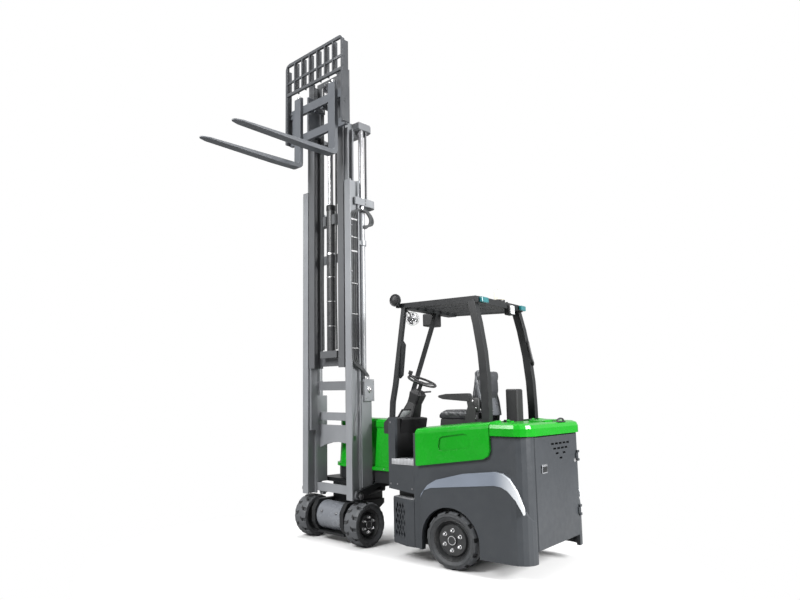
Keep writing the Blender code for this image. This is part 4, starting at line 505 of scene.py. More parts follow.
def curved(points, steps=6):
    """A smooth chain through control points."""
    points = [Vector(p) for p in points]
    chain = []
    for i in range(len(points) - 1):
        p0, p1 = points[max(i - 1, 0)], points[i]
        p2, p3 = points[i + 1], points[min(i + 2, len(points) - 1)]
        for k in range(steps):
            t = k / steps
            bend = 2 * p1 + (p2 - p0) * t + (2 * p0 - 5 * p1 + 4 * p2 - p3) * t * t
            chain.append((bend + (3 * p1 - p0 - 3 * p2 + p3) * t ** 3) / 2)
    chain.append(points[-1])
    return chain


def add_prism(bm, matrix, outline, low, high):
    """A flat outline in the matrix's XY plane, as thick as the range from low to high."""
    bottom = [bm.verts.new(matrix @ Vector((u, v, low))) for u, v in outline]
    top = [bm.verts.new(matrix @ Vector((u, v, high))) for u, v in outline]
    for i in range(len(outline)):
        j = (i + 1) % len(outline)
        bm.faces.new((bottom[i], bottom[j], top[j], top[i]))
    bm.faces.new(bottom[::-1])
    bm.faces.new(top)


def facing(place, outward, up=(0, 0, 1)):
    """A matrix at a place whose Z axis points outward, with its Y axis as near up as it goes."""
    z = Vector(outward).normalized()
    y = Vector(up)
    y = y - z * y.dot(z)
    y = y.normalized() if y.length > 1e-4 else z.orthogonal().normalized()
    x = y.cross(z)
    turn = Matrix((x, y, z)).transposed().to_4x4()
    return Matrix.Translation(place) @ turn


def add_bolt(bm, matrix, width, height=None):
    """A hexagon screw head on a washer, by its width across the flats."""
    height = height or width * 0.5
    radius = width / math.sqrt(3)
    washer = radius * 1.28
    add_ring(bm, matrix, [(0.0, 0.0), (washer, 0.0), (washer, height * 0.18), (radius, height * 0.2)], 16)
    head = [(radius, height * 0.15), (radius, height * 0.9), (radius * 0.86, height), (0.0, height)]
    add_ring(bm, matrix, head, 6)


# Wheels and drive drum


def make_wheel_trim(name, tyre_size, across):
    """A tyre's rubber, its moulded side rings, and the rim's bright nuts, studs and hub ring."""
    radius, width = tyre_size
    centre = joint_place(name + "_spin")
    outward = across if name.endswith("left") else -across
    forward = across.cross(Vector((0, 0, 1)))
    face = width / 2 - RIM_DEPTH
    bead = radius - TYRE_WALL - FIT_GAP
    nut_circle = (RIM_BOSS + bead - 0.048) / 2
    solid = frame["nodes"][name + "_tyre"]
    solid.data.materials.clear()
    solid.data.materials.append(tyre(name + "_rubber", centre, forward, across, radius, width))

    nuts = bmesh.new()
    for i in range(WHEEL_NUTS):
        a = math.radians(360 / WHEEL_NUTS * i + NUT_TURN)
        place = centre + forward * (nut_circle * math.cos(a)) + Vector((0, 0, nut_circle * math.sin(a)))
        nut = facing(place + outward * (face - 0.018), outward)
        add_ring(nuts, nut, [(0.0, 0.0), (0.0165, 0.0), (0.0165, 0.003), (0.012, 0.004)], 20)
        add_ring(nuts, nut, [(0.0130, 0.003), (0.0130, 0.020), (0.0105, 0.024), (0.0, 0.024)], 6)
        add_ring(nuts, nut, [(0.0065, 0.022), (0.0065, 0.031), (0.0, 0.032)], 12)
    hub = facing(centre + outward * (face - 0.004), outward)
    hub_ring = [(0.0355, -0.002), (0.0355, 0.0018), (0.0335, 0.0024), (0.0315, 0.0018), (0.0315, -0.002)]
    add_ring(nuts, hub, hub_ring, 32)
    mesh_piece(name + "_nuts", nuts, BRIGHT, name)

    rings = bmesh.new()
    side = facing(centre + outward * (width / 2 - 0.0055), outward)
    inner = bead + 0.026
    outer = radius - 0.012
    for share, half, height in SIDE_RINGS:
        r = inner + (outer - inner) * share
        profile = [(r - half, 0.0), (r - half * 0.6, height), (r + half * 0.6, height), (r + half, 0.0)]
        add_ring(rings, side, profile, 64)
    mesh_piece(name + "_side_rings", rings, FINISHES["rubber"], name)


def make_drum():
    """A smooth painted sleeve with end flanges over the drive drum, and its drain plugs."""
    drum = bmesh.new()
    axle_x, axle_z = DRUM_AXLE
    flange = [
        (0.118, -0.168),
        (DRUM_RADIUS, -0.166),
        (DRUM_RADIUS + 0.0016, -0.158),
        (DRUM_RADIUS + 0.0016, -0.146),
        (DRUM_RADIUS, -0.142),
    ]
    profile = flange + [(r, -h) for r, h in flange[::-1]]
    add_ring(drum, FRONT @ facing((axle_x, 0.0, axle_z), (0, 1, 0)), profile, 64)
    mesh_piece("drum_sleeve", drum, DRUM, "front_unit")
    plugs = bmesh.new()
    for y in (-0.10, 0.10):
        for ahead in (0.94, -0.94):
            place = (axle_x + DRUM_RADIUS * ahead, y, axle_z + DRUM_RADIUS * 0.34)
            add_bolt(plugs, FRONT @ facing(place, (ahead, 0, 0.34)), 0.019, 0.009)
    mesh_piece("drum_plugs", plugs, FINISHES["steel"], "front_unit")


# Mast


def make_hoses():
    """Three hoses down the outer rail to the valve block, each with a loop at its top, and their clamps."""
    hoses = bmesh.new()
    for i, x in enumerate(HOSE_XS):
        lean = (x - HOSE_XS[1]) / 2
        down = [
            (x, HOSE_Y, 3.150),
            (x, HOSE_Y, 2.600),
            (x, HOSE_Y, 2.000),
            (x, HOSE_Y, 1.800),
            (x - 0.020, HOSE_Y + 0.006, 1.705),
            (0.215 + lean, HOSE_Y + 0.016, 1.640),
            (0.165 + lean, HOSE_Y + 0.018, 1.590),
            (0.165 + lean, HOSE_Y + 0.018, 1.556),
        ]
        add_tube(hoses, [MAST @ p for p in curved(down, 5)], HOSE_RADIUS, 12)
        reach = 0.020 * i
        loop = [
            (x, HOSE_Y, 3.140),
            (x - 0.006, HOSE_Y + 0.003, 3.195),
            (0.250 - reach, HOSE_Y + 0.012, 3.232 + reach * 0.1),
            (0.170 - reach, HOSE_Y + 0.022, 3.222),
            (0.112 - reach, HOSE_Y + 0.026, 3.165),
            (0.112 - reach, HOSE_Y + 0.024, 3.105),
            (0.150, HOSE_Y + 0.014, 3.062 + reach * 0.4),
            (0.176, HOSE_Y + 0.002, 3.060 + reach * 0.4),
        ]
        add_tube(hoses, [MAST @ p for p in curved(loop, 6)], HOSE_RADIUS - 0.001, 12)
    bundle = mesh_piece("hose_bundle", hoses, FINISHES["rubber"], "outer_mast")
    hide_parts("mast_hose")

    clamps = bmesh.new()
    outside = HOSE_Y + 0.014
    around = [(0.277, 0.336), (0.277, outside), (0.357, outside), (0.357, 0.336)]
    for z, high in HOSE_CLAMPS:
        add_prism(clamps, MAST, around, z - high / 2, z + high / 2)
        add_bolt(clamps, MAST @ facing((HOSE_XS[1], outside, z), (0, 1, 0)), 0.007, 0.004)
    mesh_piece("hose_clamps", clamps, BRIGHT, "outer_mast", angle=30)


def make_free_lift_details():
    """Bands and the gland on the free-lift barrel, and the hoses that run up beside it."""
    bands = bmesh.new()
    outside = FREE_BARREL + 0.0022
    for z, high in BARREL_BANDS:
        half = high / 2
        profile = [(FREE_BARREL, -half), (outside, -half), (outside, half), (FREE_BARREL, half)]
        add_ring(bands, MAST @ Matrix.Translation((FREE_X, 0.0, z)), profile, 28)
    mesh_piece("barrel_bands", bands, BRIGHT, "inner_stage")

    gland = bmesh.new()
    profile = [
        (FREE_BARREL, -0.05),
        (0.0475, -0.048),
        (0.0475, 0.0),
        (FREE_BARREL, 0.006),
        (0.0302, 0.008),
        (0.0290, 0.004),
    ]
    add_ring(gland, MAST @ Matrix.Translation((FREE_X, 0.0, FREE_BARREL_TOP)), profile, 28)
    mesh_piece("barrel_gland", gland, FINISHES["frame_dark"], "inner_stage")

    lines = bmesh.new()
    for x, y in ((0.312, -0.092), (0.312, -0.118), (0.316, 0.104)):
        route = [
            (x, y, 1.850),
            (x, y, 1.980),
            (x + 0.004, y - 0.003, 2.500),
            (x, y, 3.050),
            (x, y, 3.600),
            (x - 0.004, y, 4.500),
        ]
        add_tube(lines, [MAST @ p for p in curved(route, 6)], 0.0095, 10)
    mesh_piece("free_lift_hoses", lines, FINISHES["rubber"], "inner_stage")


def make_mast_bolts():
    """Bolts on the columns, rails, bow and cross members, and the caps of the tilt pins."""
    bolts = bmesh.new()
    tilt_x, tilt_z = TILT_PIN
    for side in (1, -1):
        back, outward = (-1, 0, 0), (0, side, 0)
        for x, y, heights, direction, width, rise in (
            (0.100, 0.317, (0.620, 0.760, 1.300), back, 0.017, None),
            (0.350, 0.352, (2.600, 2.950, 3.060), outward, 0.014, 0.010),
            (0.150, 0.360, (3.305, 3.340), outward, 0.015, None),
            (0.170, 0.255, (1.165, 1.215), back, 0.014, None),
        ):
            for z in heights:
                add_bolt(bolts, MAST @ facing((x, side * y, z), direction), width, rise)
        cap = MAST @ facing((tilt_x, side * 0.3915, tilt_z), outward)
        add_ring(bolts, cap, [(0.0, 0.0), (0.030, 0.0), (0.030, 0.014), (0.026, 0.017), (0.0, 0.017)], 28)
        add_bolt(bolts, MAST @ facing((tilt_x, side * 0.4085, tilt_z), outward), 0.026, 0.009)
    mesh_piece("mast_bolts", bolts, FINISHES["steel"], "outer_mast")


def make_chain(name, body, points, width, replaced):
    """A leaf chain along a path in the mast's frame: rows of waisted link plates on pins."""
    links = bmesh.new()
    path = [Vector(p) for p in points]
    plate_pitch = width / CHAIN_ROWS
    for start, end in zip(path, path[1:]):
        along = end - start
        count = max(1, round(along.length / CHAIN_PITCH))
        step = along / count
        half, tall = 0.0075, step.length * 0.86
        waist, neck = half * 0.62, tall * 0.35
        plate = [(-half, -tall), (half, -tall), (half, -neck), (waist, 0.0), (half, neck)]
        plate += [(-u, -v) for u, v in plate]
        for i in range(count):
            middle = start + step * (i + 0.5)
            for row in range(i % 2, CHAIN_ROWS, 2):
                y = (row - (CHAIN_ROWS - 1) / 2) * plate_pitch
                place = MAST @ facing(middle + Vector((0, y, 0)), (0, 1, 0), along)
                add_prism(links, place, plate, -plate_pitch * 0.42, plate_pitch * 0.42)
            pin = MAST @ facing(start + step * i + Vector((0, -width / 2, 0)), (0, 1, 0), along)
            profile = [(0.0, -0.0012), (0.0042, -0.001), (0.0042, width + 0.001), (0.0, width + 0.0012)]
            add_ring(links, pin, profile, 8)
    piece = mesh_piece(name, links, FINISHES["steel"], body, smooth=False)
    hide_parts(replaced)


def make_chains():
    """The carriage chains over the rod head's pulleys, and the main lift chains below the middle bow."""
    over = []
    for i in range(9):
        a = math.radians(180 - 22.5 * i)
        over.append((FREE_X + PULLEY_RADIUS * math.cos(a), PULLEY_Z + PULLEY_RADIUS * math.sin(a)))
    rear_end = (FREE_X - PULLEY_RADIUS, FREE_BARREL_TOP + 0.030)
    front_end = (FREE_X + PULLEY_RADIUS, HEEL_Z + 0.627)
    run = [rear_end, *over, front_end]
    for side, name in ((1, "left"), (-1, "right")):
        route = [(x, side * 0.055, z) for x, z in run]
        make_chain(f"carriage_chain_{name}_links", "free_lift_rod", route, 0.013, f"carriage_chain_{name}")
        route = [(0.104, side * 0.322, 3.300), (0.104, side * 0.322, BOW_Z - 0.001)]
        make_chain(f"lift_chain_{name}_links", "middle_stage", route, 0.020, f"lift_chain_{name}")


def make_carriage_details():
    """The backrest's webs and second bar, the fork bar's notches, roller caps and the forks' latches."""
    webs = bmesh.new()
    low, high = HEEL_Z + 0.850, HEEL_Z + 1.190
    for i in range(1, WEB_COLUMNS):
        y = -WEB_HALF + 2 * WEB_HALF / WEB_COLUMNS * i
        place = MAST @ Matrix.Translation((0.492, y, (low + high) / 2))
        add_box(webs, place, (0.042, 0.010, high - low), 0.002)
    bar = (0.020, 2 * WEB_HALF + 0.004, 0.026)
    add_box(webs, MAST @ Matrix.Translation((0.524, 0.0, HEEL_Z + 0.990)), bar, 0.003)
    for side in (1, -1):
        for up in (0.340, 0.640):
            add_bolt(webs, MAST @ facing((0.485, side * 0.405, HEEL_Z + up), (1, 0, 0)), 0.022)
    mesh_piece("backrest_webs", webs, BACKREST, "carriage", angle=30)

    details = bmesh.new()
    for i in range(NOTCHES):
        y = (i - (NOTCHES - 1) / 2) * NOTCH_PITCH
        place = MAST @ Matrix.Translation((0.470, y, HEEL_Z + 0.6865))
        add_box(details, place, (0.012, 0.012, 0.004), 0.001)
    for side in (1, -1):
        for up in (0.400, 0.675):
            place = MAST @ facing((0.3045, side * 0.1475, HEEL_Z + up), (0, -side, 0))
            profile = [(0.0, 0.0), (0.019, 0.0), (0.019, 0.006), (0.015, 0.008), (0.0, 0.008)]
            add_ring(details, place, profile, 20)
    mesh_piece("carriage_details", details, FINISHES["steel"], "carriage")

    for side, name in ((1, "left"), (-1, "right")):
        latch = bmesh.new()
        x, y, z = 0.505, side * FORK_Y, HEEL_Z + 0.774
        button = [(0.0, 0.0), (0.011, 0.0), (0.011, 0.020), (0.0, 0.022)]
        add_ring(latch, MAST @ facing((x, y, z), (0, 0, 1)), button, 16)
        cross_pin = [(0.0, 0.0), (0.005, 0.0), (0.005, 0.044), (0.0, 0.044)]
        add_ring(latch, MAST @ facing((x, y - 0.022, z + 0.015), (0, 1, 0)), cross_pin, 12)
        mesh_piece(f"fork_{name}_latch", latch, BRIGHT, f"fork_{name}")


def make_valves():
    """A capped port, corner screws and three hose unions on each valve block."""
    x, y, z = VALVE_PORT
    for side, name in ((1, "left"), (-1, "right")):
        fittings = bmesh.new()
        outward = (0, side, 0)
        port = [(0.0, 0.0), (0.030, 0.0), (0.030, 0.004), (0.020, 0.006), (0.020, 0.012), (0.0, 0.012)]
        add_ring(fittings, MAST @ facing((x, side * y, z), outward), port, 28)
        add_bolt(fittings, MAST @ facing((x, side * (y + 0.012), z), outward), 0.022, 0.008)
        for up in (-0.085, 0.080):
            for ahead in (-0.050, 0.050):
                place = MAST @ facing((x + ahead, side * y, z + up), outward)
                add_bolt(fittings, place, 0.011, 0.006)
        for ahead in (0.0, 0.015, 0.030):
            top = MAST @ Matrix.Translation((x + ahead, side * (y - 0.016), z + 0.100))
            union = [(0.0, 0.0), (0.0135, 0.0), (0.0135, 0.016), (0.0120, 0.030), (0.0, 0.030)]
            add_ring(fittings, top, union, 6)
        mesh_piece(f"valve_fittings_{name}", fittings, BRIGHT, "outer_mast")


# Body


def make_door_fittings():
    """The door latch's frame, its paddle with a bright lip, and the lock with its key."""
    y, z = 0.262, 0.820
    surround = bmesh.new()
    add_box(surround, CHASSIS @ Matrix.Translation((DOOR_X - 0.0005, y, z)), (0.006, 0.104, 0.070), 0.0025)
    mesh_piece("latch_frame", surround, FINISHES["mast_grey"], "rear_door")
    paddle = bmesh.new()
    place = CHASSIS @ Matrix.Translation((DOOR_X - 0.0045, y, z - 0.003))
    add_box(paddle, place, (0.004, 0.084, 0.044), 0.0015)
    mesh_piece("latch_paddle", paddle, FINISHES["frame_dark"], "rear_door")
    lock = bmesh.new()
    at_y, at_z = -0.385, 0.845
    barrel = [(0.0, 0.0), (0.016, 0.0), (0.016, 0.005), (0.012, 0.007), (0.0, 0.007)]
    add_ring(lock, CHASSIS @ facing((DOOR_X, at_y, at_z), (-1, 0, 0)), barrel, 24)
    add_box(lock, CHASSIS @ Matrix.Translation((DOOR_X - 0.010, at_y, at_z)), (0.008, 0.005, 0.022), 0.0015)
    lip = CHASSIS @ Matrix.Translation((DOOR_X - 0.0065, y, z + 0.030))
    add_box(lock, lip, (0.004, 0.070, 0.006), 0.0015)
    mesh_piece("door_lock", lock, BRIGHT, "rear_door")


def make_hood_fittings():
    """The hood's arched grip on its foot, and the raised pad in front of it."""
    grip = bmesh.new()
    x, y = -2.105, -0.170
    arch = [
        (x, y - 0.065, 1.172),
        (x - 0.003, y - 0.055, 1.196),
        (x - 0.003, y, 1.204),
        (x - 0.003, y + 0.055, 1.196),
        (x, y + 0.065, 1.172),
    ]
    add_tube(grip, [CHASSIS @ p for p in curved(arch, 5)], 0.008)
    add_box(grip, CHASSIS @ Matrix.Translation((x + 0.007, y, 1.178)), (0.050, 0.160, 0.008), 0.003)
    mesh_piece("hood_grip", grip, FINISHES["black_plastic"], "rear_hood")
    pad = bmesh.new()
    add_box(pad, CHASSIS @ Matrix.Translation((-1.985, -0.120, 1.184)), (0.150, 0.300, 0.022), 0.009, 4)
    mesh_piece("hood_pad", pad, FINISHES["green"], "rear_hood")


def make_treads():
    """Bright tread plate on the edges of the operator's floor and on both steps."""
    tread = bmesh.new()
    for side in (1, -1):
        place = CHASSIS @ Matrix.Translation((-1.010, side * 0.500, FLOOR_Z + 0.0012))
        add_box(tread, place, (0.188, 0.100, 0.003), 0.001)
        outline = [(x, side * y) for x, y in STEP_PLATE[::side]]
        add_prism(tread, CHASSIS, outline, STEP_Z - 0.0005, STEP_Z + 0.0025)
        place = CHASSIS @ Matrix.Translation((-0.990, side * 0.5570, FLOOR_Z - 0.022))
        add_box(tread, place, (0.232, 0.003, 0.048), 0.001)
    mesh_piece("treads", tread, TREAD_PLATE, "chassis", angle=30)


def make_arch_panels():
    """Dark panels inside the rear wheel arches, with their bolts."""
    panels = bmesh.new()
    for side in (1, -1):
        place = CHASSIS @ Matrix.Translation((-1.050, side * 0.4275, 0.264))
        add_box(panels, place, (0.350, 0.004, 0.266), 0.001)
        for x in (-1.200, -0.900):
            add_bolt(panels, CHASSIS @ facing((x, side * 0.4295, 0.340), (0, side, 0)), 0.014, 0.005)
    mesh_piece("arch_inner_panels", panels, FINISHES["frame_dark"], "chassis", angle=30)


def make_cover_screws():
    """The screws of the pillars, the bulkhead and the nose cover."""
    screws = bmesh.new()
    for side in (1, -1):
        for x, z in ((-0.862, 0.63), (-0.862, 1.16), (-0.930, 0.63), (-1.080, 0.60)):
            add_bolt(screws, CHASSIS @ facing((x, side * 0.555, z), (0, side, 0)), 0.011, 0.004)
        for y in (0.12, 0.26):
            add_bolt(screws, CHASSIS @ facing((-0.840, side * y, 0.74), (1, 0, 0)), 0.013, 0.006)
    for x, y in ((-0.62, 0.322), (-0.40, 0.19), (-0.16, 0.19)):
        for side in (1, -1):
            add_bolt(screws, CHASSIS @ facing((x, side * y, 0.715), (0, side, 0)), 0.010, 0.004)
    mesh_piece("cover_screws", screws, FINISHES["steel"], "chassis")


# Cab


def add_fan(guard, motor):
    """The cab fan: a wire guard, four blades, a motor and an arm up to the roof."""
    place = CHASSIS @ Vector((-0.985, 0.360, 2.095))
    look = facing(place, (-0.65, 0.35, 0.1))
    for r, h in ((0.062, 0.0), (0.062, 0.026), (0.046, 0.030), (0.030, 0.031), (0.015, 0.032)):
        turns = [2 * math.pi * k / 28 for k in range(29)]
        circle = [look @ Vector((r * math.cos(a), r * math.sin(a), h)) for a in turns]
        add_tube(guard, circle, 0.0016, 6, caps=False)
    for k in range(FAN_WIRES):
        a = 2 * math.pi * k / FAN_WIRES
        wire = [(0.062, 0.0), (0.062, 0.026), (0.046, 0.030), (0.010, 0.032)]
        points = [look @ Vector((r * math.cos(a), r * math.sin(a), h)) for r, h in wire]
        add_tube(guard, points, 0.0012, 6)
    for k in range(4):
        turn = look @ Matrix.Rotation(math.pi / 2 * k, 4, "Z") @ Matrix.Rotation(0.5, 4, "X")
        blade = [(0.006, -0.010), (0.050, -0.024), (0.054, 0.010), (0.006, 0.010)]
        add_prism(motor, turn, blade, 0.010, 0.0125)
    add_ring(motor, look, [(0.0, -0.040), (0.024, -0.040), (0.026, 0.0), (0.012, 0.018), (0.0, 0.020)], 20)
    arm = [(0.02, -0.01, 0.0), (0.02, -0.01, 0.045), (0.035, 0.05, 0.085)]
    add_tube(motor, curved([place + Vector(p) for p in arm], 4), 0.007)


def make_cab_fittings():
    """Lamps, fan, grab handle, display and pedals, by what each part is made of."""
    black, bright, glass = bmesh.new(), bmesh.new(), bmesh.new()
    lamp = CHASSIS @ Vector((-1.690, -0.168, 2.168))
    add_box(black, Matrix.Translation(lamp), (0.060, 0.095, 0.095), 0.012, 3)
    add_box(glass, Matrix.Translation(lamp + Vector((-0.031, 0, 0))), (0.008, 0.078, 0.078), 0.003)
    add_tube(black, [lamp + Vector(p) for p in ((0.01, 0.0, 0.04), (0.02, 0.0, 0.075))], 0.010)
    front_lamp = facing(CHASSIS @ Vector((-0.906, 0.485, 2.262)), (-1, 0.25, 0))
    add_ring(black, front_lamp, [(0.0, 0.030), (0.020, 0.030), (0.040, 0.016), (0.050, 0.0)], 32)
    add_fan(bright, black)

    handle = [
        (-1.720, -0.460, 1.895),
        (-1.742, -0.425, 1.885),
        (-1.752, -0.415, 1.850),
        (-1.774, -0.415, 1.740),
        (-1.780, -0.425, 1.700),
        (-1.765, -0.460, 1.680),
    ]
    add_tube(black, [CHASSIS @ p for p in curved(handle, 6)], 0.012)
    place = CHASSIS @ Matrix.Translation((-0.830, 0.280, 1.232))
    screen = place @ Matrix.Rotation(math.radians(-35), 4, "Y")
    add_box(black, screen, (0.014, 0.150, 0.100), 0.005)
    add_box(glass, screen @ Matrix.Translation((-0.0085, 0, 0)), (0.003, 0.126, 0.076), 0.001)
    add_tube(black, [screen @ Vector((0.0, 0, -0.02)), screen @ Vector((0.02, 0, -0.075))], 0.010)
    for y, wide in ((0.155, 0.060), (0.020, 0.055)):
        place = CHASSIS @ Matrix.Translation((-0.925, y, FLOOR_Z + 0.050))
        pedal = place @ Matrix.Rotation(math.radians(50), 4, "Y")
        add_box(black, pedal, (0.110, wide, 0.010), 0.004)
        lever = pedal @ Vector((0.02, 0, -0.004))
        add_tube(black, [lever, lever + Vector((0.040, 0, 0.010))], 0.007)
    mesh_piece("cab_fittings", black, FINISHES["black_plastic"], "chassis")
    mesh_piece("fan_guard", bright, FINISHES["chrome"], "chassis")
    mesh_piece("lamp_glasses", glass, CLEAR, "chassis")


def make_beacon():
    """The beacon's domed lens on a black foot."""
    low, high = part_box("beacon")
    place = Matrix.Translation(((low[0] + high[0]) / 2 + 0.010, (low[1] + high[1]) / 2 + 0.012, low[2]))
    dome = bmesh.new()
    profile = [
        (0.0, 0.020),
        (0.043, 0.020),
        (0.045, 0.030),
        (0.044, 0.092),
        (0.036, 0.106),
        (0.018, 0.112),
        (0.0, 0.113),
    ]
    add_ring(dome, place, profile, 32)
    lens = mesh_piece("beacon_dome", dome, FINISHES["lens"], "chassis")
    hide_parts("beacon")
    foot = bmesh.new()
    profile = [(0.0, 0.0), (0.046, 0.0), (0.050, 0.004), (0.050, 0.018), (0.042, 0.022), (0.0, 0.022)]
    add_ring(foot, place, profile, 32)
    mesh_piece("beacon_foot", foot, FINISHES["black_plastic"], "chassis")


# Seat


def bake_modifiers(piece):
    """Puts the result of a piece's modifiers into its mesh."""
    graph = bpy.context.evaluated_depsgraph_get()
    graph.update()
    mesh = bpy.data.meshes.new_from_object(piece.evaluated_get(graph))
    piece.modifiers.clear()
    piece.data = mesh


def make_cushion(name, node):
    """A padded form blown up from the shape that the solid holds, then smoothed."""
    solid = frame["nodes"][node]
    low, high = (Vector(c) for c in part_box(node))
    centre = (low + high) / 2
    mesh = solid.data.copy()
    mesh.transform(solid.matrix_world)
    smaller = Matrix.Diagonal((CUSHION_START, CUSHION_START, CUSHION_START, 1))
    mesh.transform(Matrix.Translation(centre) @ smaller @ Matrix.Translation(-centre))
    mesh.materials.clear()
    piece = bpy.data.objects.new(name, mesh)
    bpy.context.scene.collection.objects.link(piece)
    remesh = piece.modifiers.new("even", "REMESH")
    remesh.mode = "VOXEL"
    remesh.voxel_size = 0.006
    bpy.context.view_layer.objects.active = piece
    bake_modifiers(piece)
    rest = [v.co.copy() for v in piece.data.vertices]
    cloth = piece.modifiers.new("pad", "CLOTH")
    cloth.settings.use_pressure = True
    cloth.settings.uniform_pressure_force = 4.0
    cloth.settings.effector_weights.gravity = 0.0
    cloth.settings.mass = 0.3
    for step in range(1, CUSHION_FRAMES + 1):
        bpy.context.scene.frame_set(step)
    bake_modifiers(piece)
    bpy.context.scene.frame_set(1)
    for vertex, start in zip(piece.data.vertices, rest):
        push = vertex.co - start
        if push.length > CUSHION_SWELL:
            vertex.co = start + push.normalized() * CUSHION_SWELL
    smooth = piece.modifiers.new("soft", "SMOOTH")
    smooth.factor = 0.5
    smooth.iterations = 8
    finer = piece.modifiers.new("finer", "SUBSURF")
    finer.levels = 1
    finer.render_levels = 1
    bake_modifiers(piece)
    piece.data.shade_smooth()
    piece.data.materials.append(FINISHES["seat_vinyl"])
    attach(piece, "chassis")
    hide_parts(node)
    return piece


def longest_chain(edges):
    """The vertices of the longest run of joined edges, in order."""
    joined = {}
    for edge in edges:
        for vert in edge.verts:
            joined.setdefault(vert, []).append(edge.other_vert(vert))
    best, seen = [], set()
    for start in joined:
        if start in seen:
            continue
        chain = [start]
        seen.add(start)
        while True:
            ahead = [v for v in joined[chain[-1]] if v not in seen]
            if not ahead:
                break
            seen.add(ahead[0])
            chain.append(ahead[0])
        if len(chain) > len(best):
            best = chain
    return best


def make_piping(name, cushion, place, normal):
    """A welt around a cushion, laid where a plane cuts its surface."""
    bm = bmesh.new()
    bm.from_mesh(cushion.data)
    whole = bm.verts[:] + bm.edges[:] + bm.faces[:]
    cut = bmesh.ops.bisect_plane(bm, geom=whole, plane_co=place, plane_no=normal)["geom_cut"]
    chain = longest_chain([e for e in cut if isinstance(e, bmesh.types.BMEdge)])
    points = [v.co.copy() for v in chain][::3]
    bm.free()
    welt = bmesh.new()
    add_tube(welt, points + [points[0]], 0.0032, 8, caps=False)
    mesh_piece(name, welt, PIPING, "chassis")


def make_seat():
    """The soft cushion and backrest, each with piping where its top panel is sewn to its side."""
    cushion = make_cushion("seat_cushion_cover", "seat_cushion")
    low, high = (Vector(c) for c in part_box("seat_cushion"))
    make_piping("seat_cushion_welt", cushion, (low + high) / 2 + Vector((0, 0, 0.018)), (0, 0, 1))
    back = make_cushion("seat_backrest_cover", "seat_backrest")
    low, high = (Vector(c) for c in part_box("seat_backrest"))
    forward = Vector((math.cos(BACKREST_LEAN), 0, math.sin(BACKREST_LEAN)))
    make_piping("seat_backrest_welt", back, (low + high) / 2 + forward * 0.010, forward)


def make_seat_shell():
    """The moulded shell behind the backrest, the belt unit beside it, and their screws."""
    shell, screws, unit = bmesh.new(), bmesh.new(), bmesh.new()
    half = [(0.0, 0.165), (0.120, 0.175), (0.300, 0.170), (0.385, 0.140), (0.405, 0.090)]
    outline = [(wide, up) for up, wide in half] + [(-wide, up) for up, wide in half[::-1]]
    lean = CHASSIS @ facing((-1.560, 0.055, 1.215), (-1, 0, 0.20))
    add_prism(shell, lean, outline, 0.028, 0.052)
    bmesh.ops.bevel(shell, geom=shell.edges[:], offset=0.008, segments=3, profile=0.5, affect="EDGES")
    mesh_piece("seat_shell", shell, SEAT_SHELL, "chassis")
    for u, v in ((0.09, 0.10), (-0.09, 0.10), (0.10, 0.28), (-0.10, 0.28), (0.0, 0.04)):
        add_bolt(screws, lean @ Matrix.Translation((u, v, 0.051)), 0.014, 0.004)
    add_box(unit, CHASSIS @ Matrix.Translation((-1.545, 0.262, 1.320)), (0.080, 0.040, 0.120), 0.010, 3)
    add_box(unit, CHASSIS @ Matrix.Translation((-1.505, 0.268, 1.210)), (0.120, 0.030, 0.050), 0.008, 3)
    for x, z in ((-1.560, 1.290), (-1.530, 1.350), (-1.480, 1.215), (-1.550, 1.205), (-1.500, 1.180)):
        add_bolt(screws, CHASSIS @ facing((x, 0.283, z), (0, 1, 0)), 0.012, 0.004)
    mesh_piece("belt_unit", unit, FINISHES["black_plastic"], "chassis")
    mesh_piece("seat_shell_screws", screws, BRIGHT, "chassis")


# Floor, light and camera


def make_floor():
    """A pale floor that keeps the shadows near the machine and fades into the background."""
    reach = 60.0
    corners = [(-reach, -reach, 0), (reach, -reach, 0), (reach, reach, 0), (-reach, reach, 0)]
    mesh = bpy.data.meshes.new("floor")
    mesh.from_pydata(corners, [], [(0, 1, 2, 3)])
    floor = bpy.data.objects.new("floor", mesh)
    bpy.context.scene.collection.objects.link(floor)
    f = Finish("floor")
    seen = f.node("ShaderNodeLightPath", output="Is Camera Ray")
    tone = f.mix(f.noise(1.5, 2.0) * 0.2, (0.76, 0.76, 0.76), (0.79, 0.79, 0.79))
    tone = f.mix(seen, (0.34, 0.34, 0.34), tone)
    away = f.node("ShaderNodeVectorMath", {"operation": "LENGTH"}, {0: f.place}, output="Value")
    white = f.node("ShaderNodeEmission", sockets={"Color": (1.0, 1.0, 1.0, 1.0), "Strength": 1.0})
    painted = Value(f, f.shader.outputs[0])
    faded = f.node("ShaderNodeMixShader", sockets={0: away.ramp(1.35, 2.6) * seen, 1: painted, 2: white})
    f.feed(f.tree.nodes["Material Output"].inputs["Surface"], faded)
    mesh.materials.append(f.done(Base_Color=tone, Roughness=0.7))


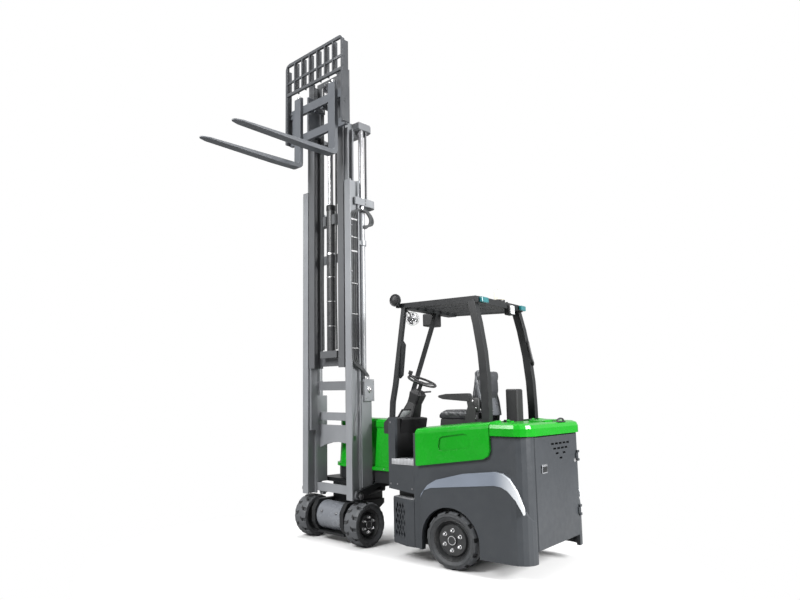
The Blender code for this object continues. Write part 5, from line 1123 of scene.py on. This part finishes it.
def make_light():
    """Soft studio light from above and behind the machine, with white for the camera's own rays."""
    world = bpy.data.worlds.new("studio")
    bpy.context.scene.world = world
    world.use_nodes = True
    tree = world.node_tree
    background = tree.nodes["Background"]
    background.inputs["Color"].default_value = (1.0, 1.0, 1.0, 1.0)
    rays = tree.nodes.new("ShaderNodeLightPath")
    strength = tree.nodes.new("ShaderNodeValue").outputs[0]
    strength.default_value = 0.30
    for ray, level in (("Is Glossy Ray", 0.55), ("Is Camera Ray", 1.0)):
        blend = tree.nodes.new("ShaderNodeMix")
        tree.links.new(rays.outputs[ray], blend.inputs[0])
        tree.links.new(strength, blend.inputs[2])
        blend.inputs[3].default_value = level
        strength = blend.outputs[0]
    tree.links.new(strength, background.inputs["Strength"])
    for name, place, aim, power, size in (
        ("key", (1.2, 6.6, 6.2), (0.5, 0.0, 2.8), 1050.0, 4.0),
        ("rear", (-7.5, -1.2, 4.2), (-0.9, 0.0, 1.0), 1350.0, 3.5),
        ("top", (1.5, -1.0, 9.0), (0.0, 0.0, 1.0), 700.0, 6.0),
    ):
        data = bpy.data.lights.new(name, "AREA")
        data.energy = power
        data.size = size
        light = bpy.data.objects.new(name, data)
        light.location = place
        light.rotation_euler = (Vector(aim) - Vector(place)).to_track_quat("-Z", "Y").to_euler()
        bpy.context.scene.collection.objects.link(light)


def make_camera():
    """The photograph's camera, so that the render lies over the photograph."""
    data = bpy.data.cameras.new("camera")
    data.sensor_width = 36.0
    data.lens = data.sensor_width * FOCAL_PIXELS / PHOTO_WIDTH
    data.shift_x = (PHOTO_WIDTH / 2 - SIGHT_X) / PHOTO_WIDTH
    data.shift_y = (SIGHT_Y - PHOTO_HEIGHT / 2) / PHOTO_WIDTH
    camera = bpy.data.objects.new("camera", data)
    bpy.context.scene.collection.objects.link(camera)
    camera.location = CHASSIS @ Vector(CAMERA_PLACE)
    level = math.cos(CAMERA_PITCH)
    aim = Vector((level * math.cos(CAMERA_YAW), level * math.sin(CAMERA_YAW), math.sin(CAMERA_PITCH)))
    camera.rotation_euler = aim.to_track_quat("-Z", "Y").to_euler()
    bpy.context.scene.camera = camera


FRONT_ACROSS = FRONT.to_3x3() @ Vector((0, 1, 0))
for side in ("left", "right"):
    make_wheel_trim("wheel_front_" + side, FRONT_TYRE, FRONT_ACROSS)
    make_wheel_trim("wheel_rear_" + side, REAR_TYRE, Vector((0, 1, 0)))
make_hoses()
make_free_lift_details()
make_mast_bolts()
make_drum()
make_chains()
make_carriage_details()
make_valves()
make_door_fittings()
make_hood_fittings()
make_treads()
make_arch_panels()
make_cover_screws()
make_cab_fittings()
make_beacon()
make_seat()
make_seat_shell()
make_camera()
make_floor()
make_light()
bpy.context.scene.view_settings.view_transform = "Standard"
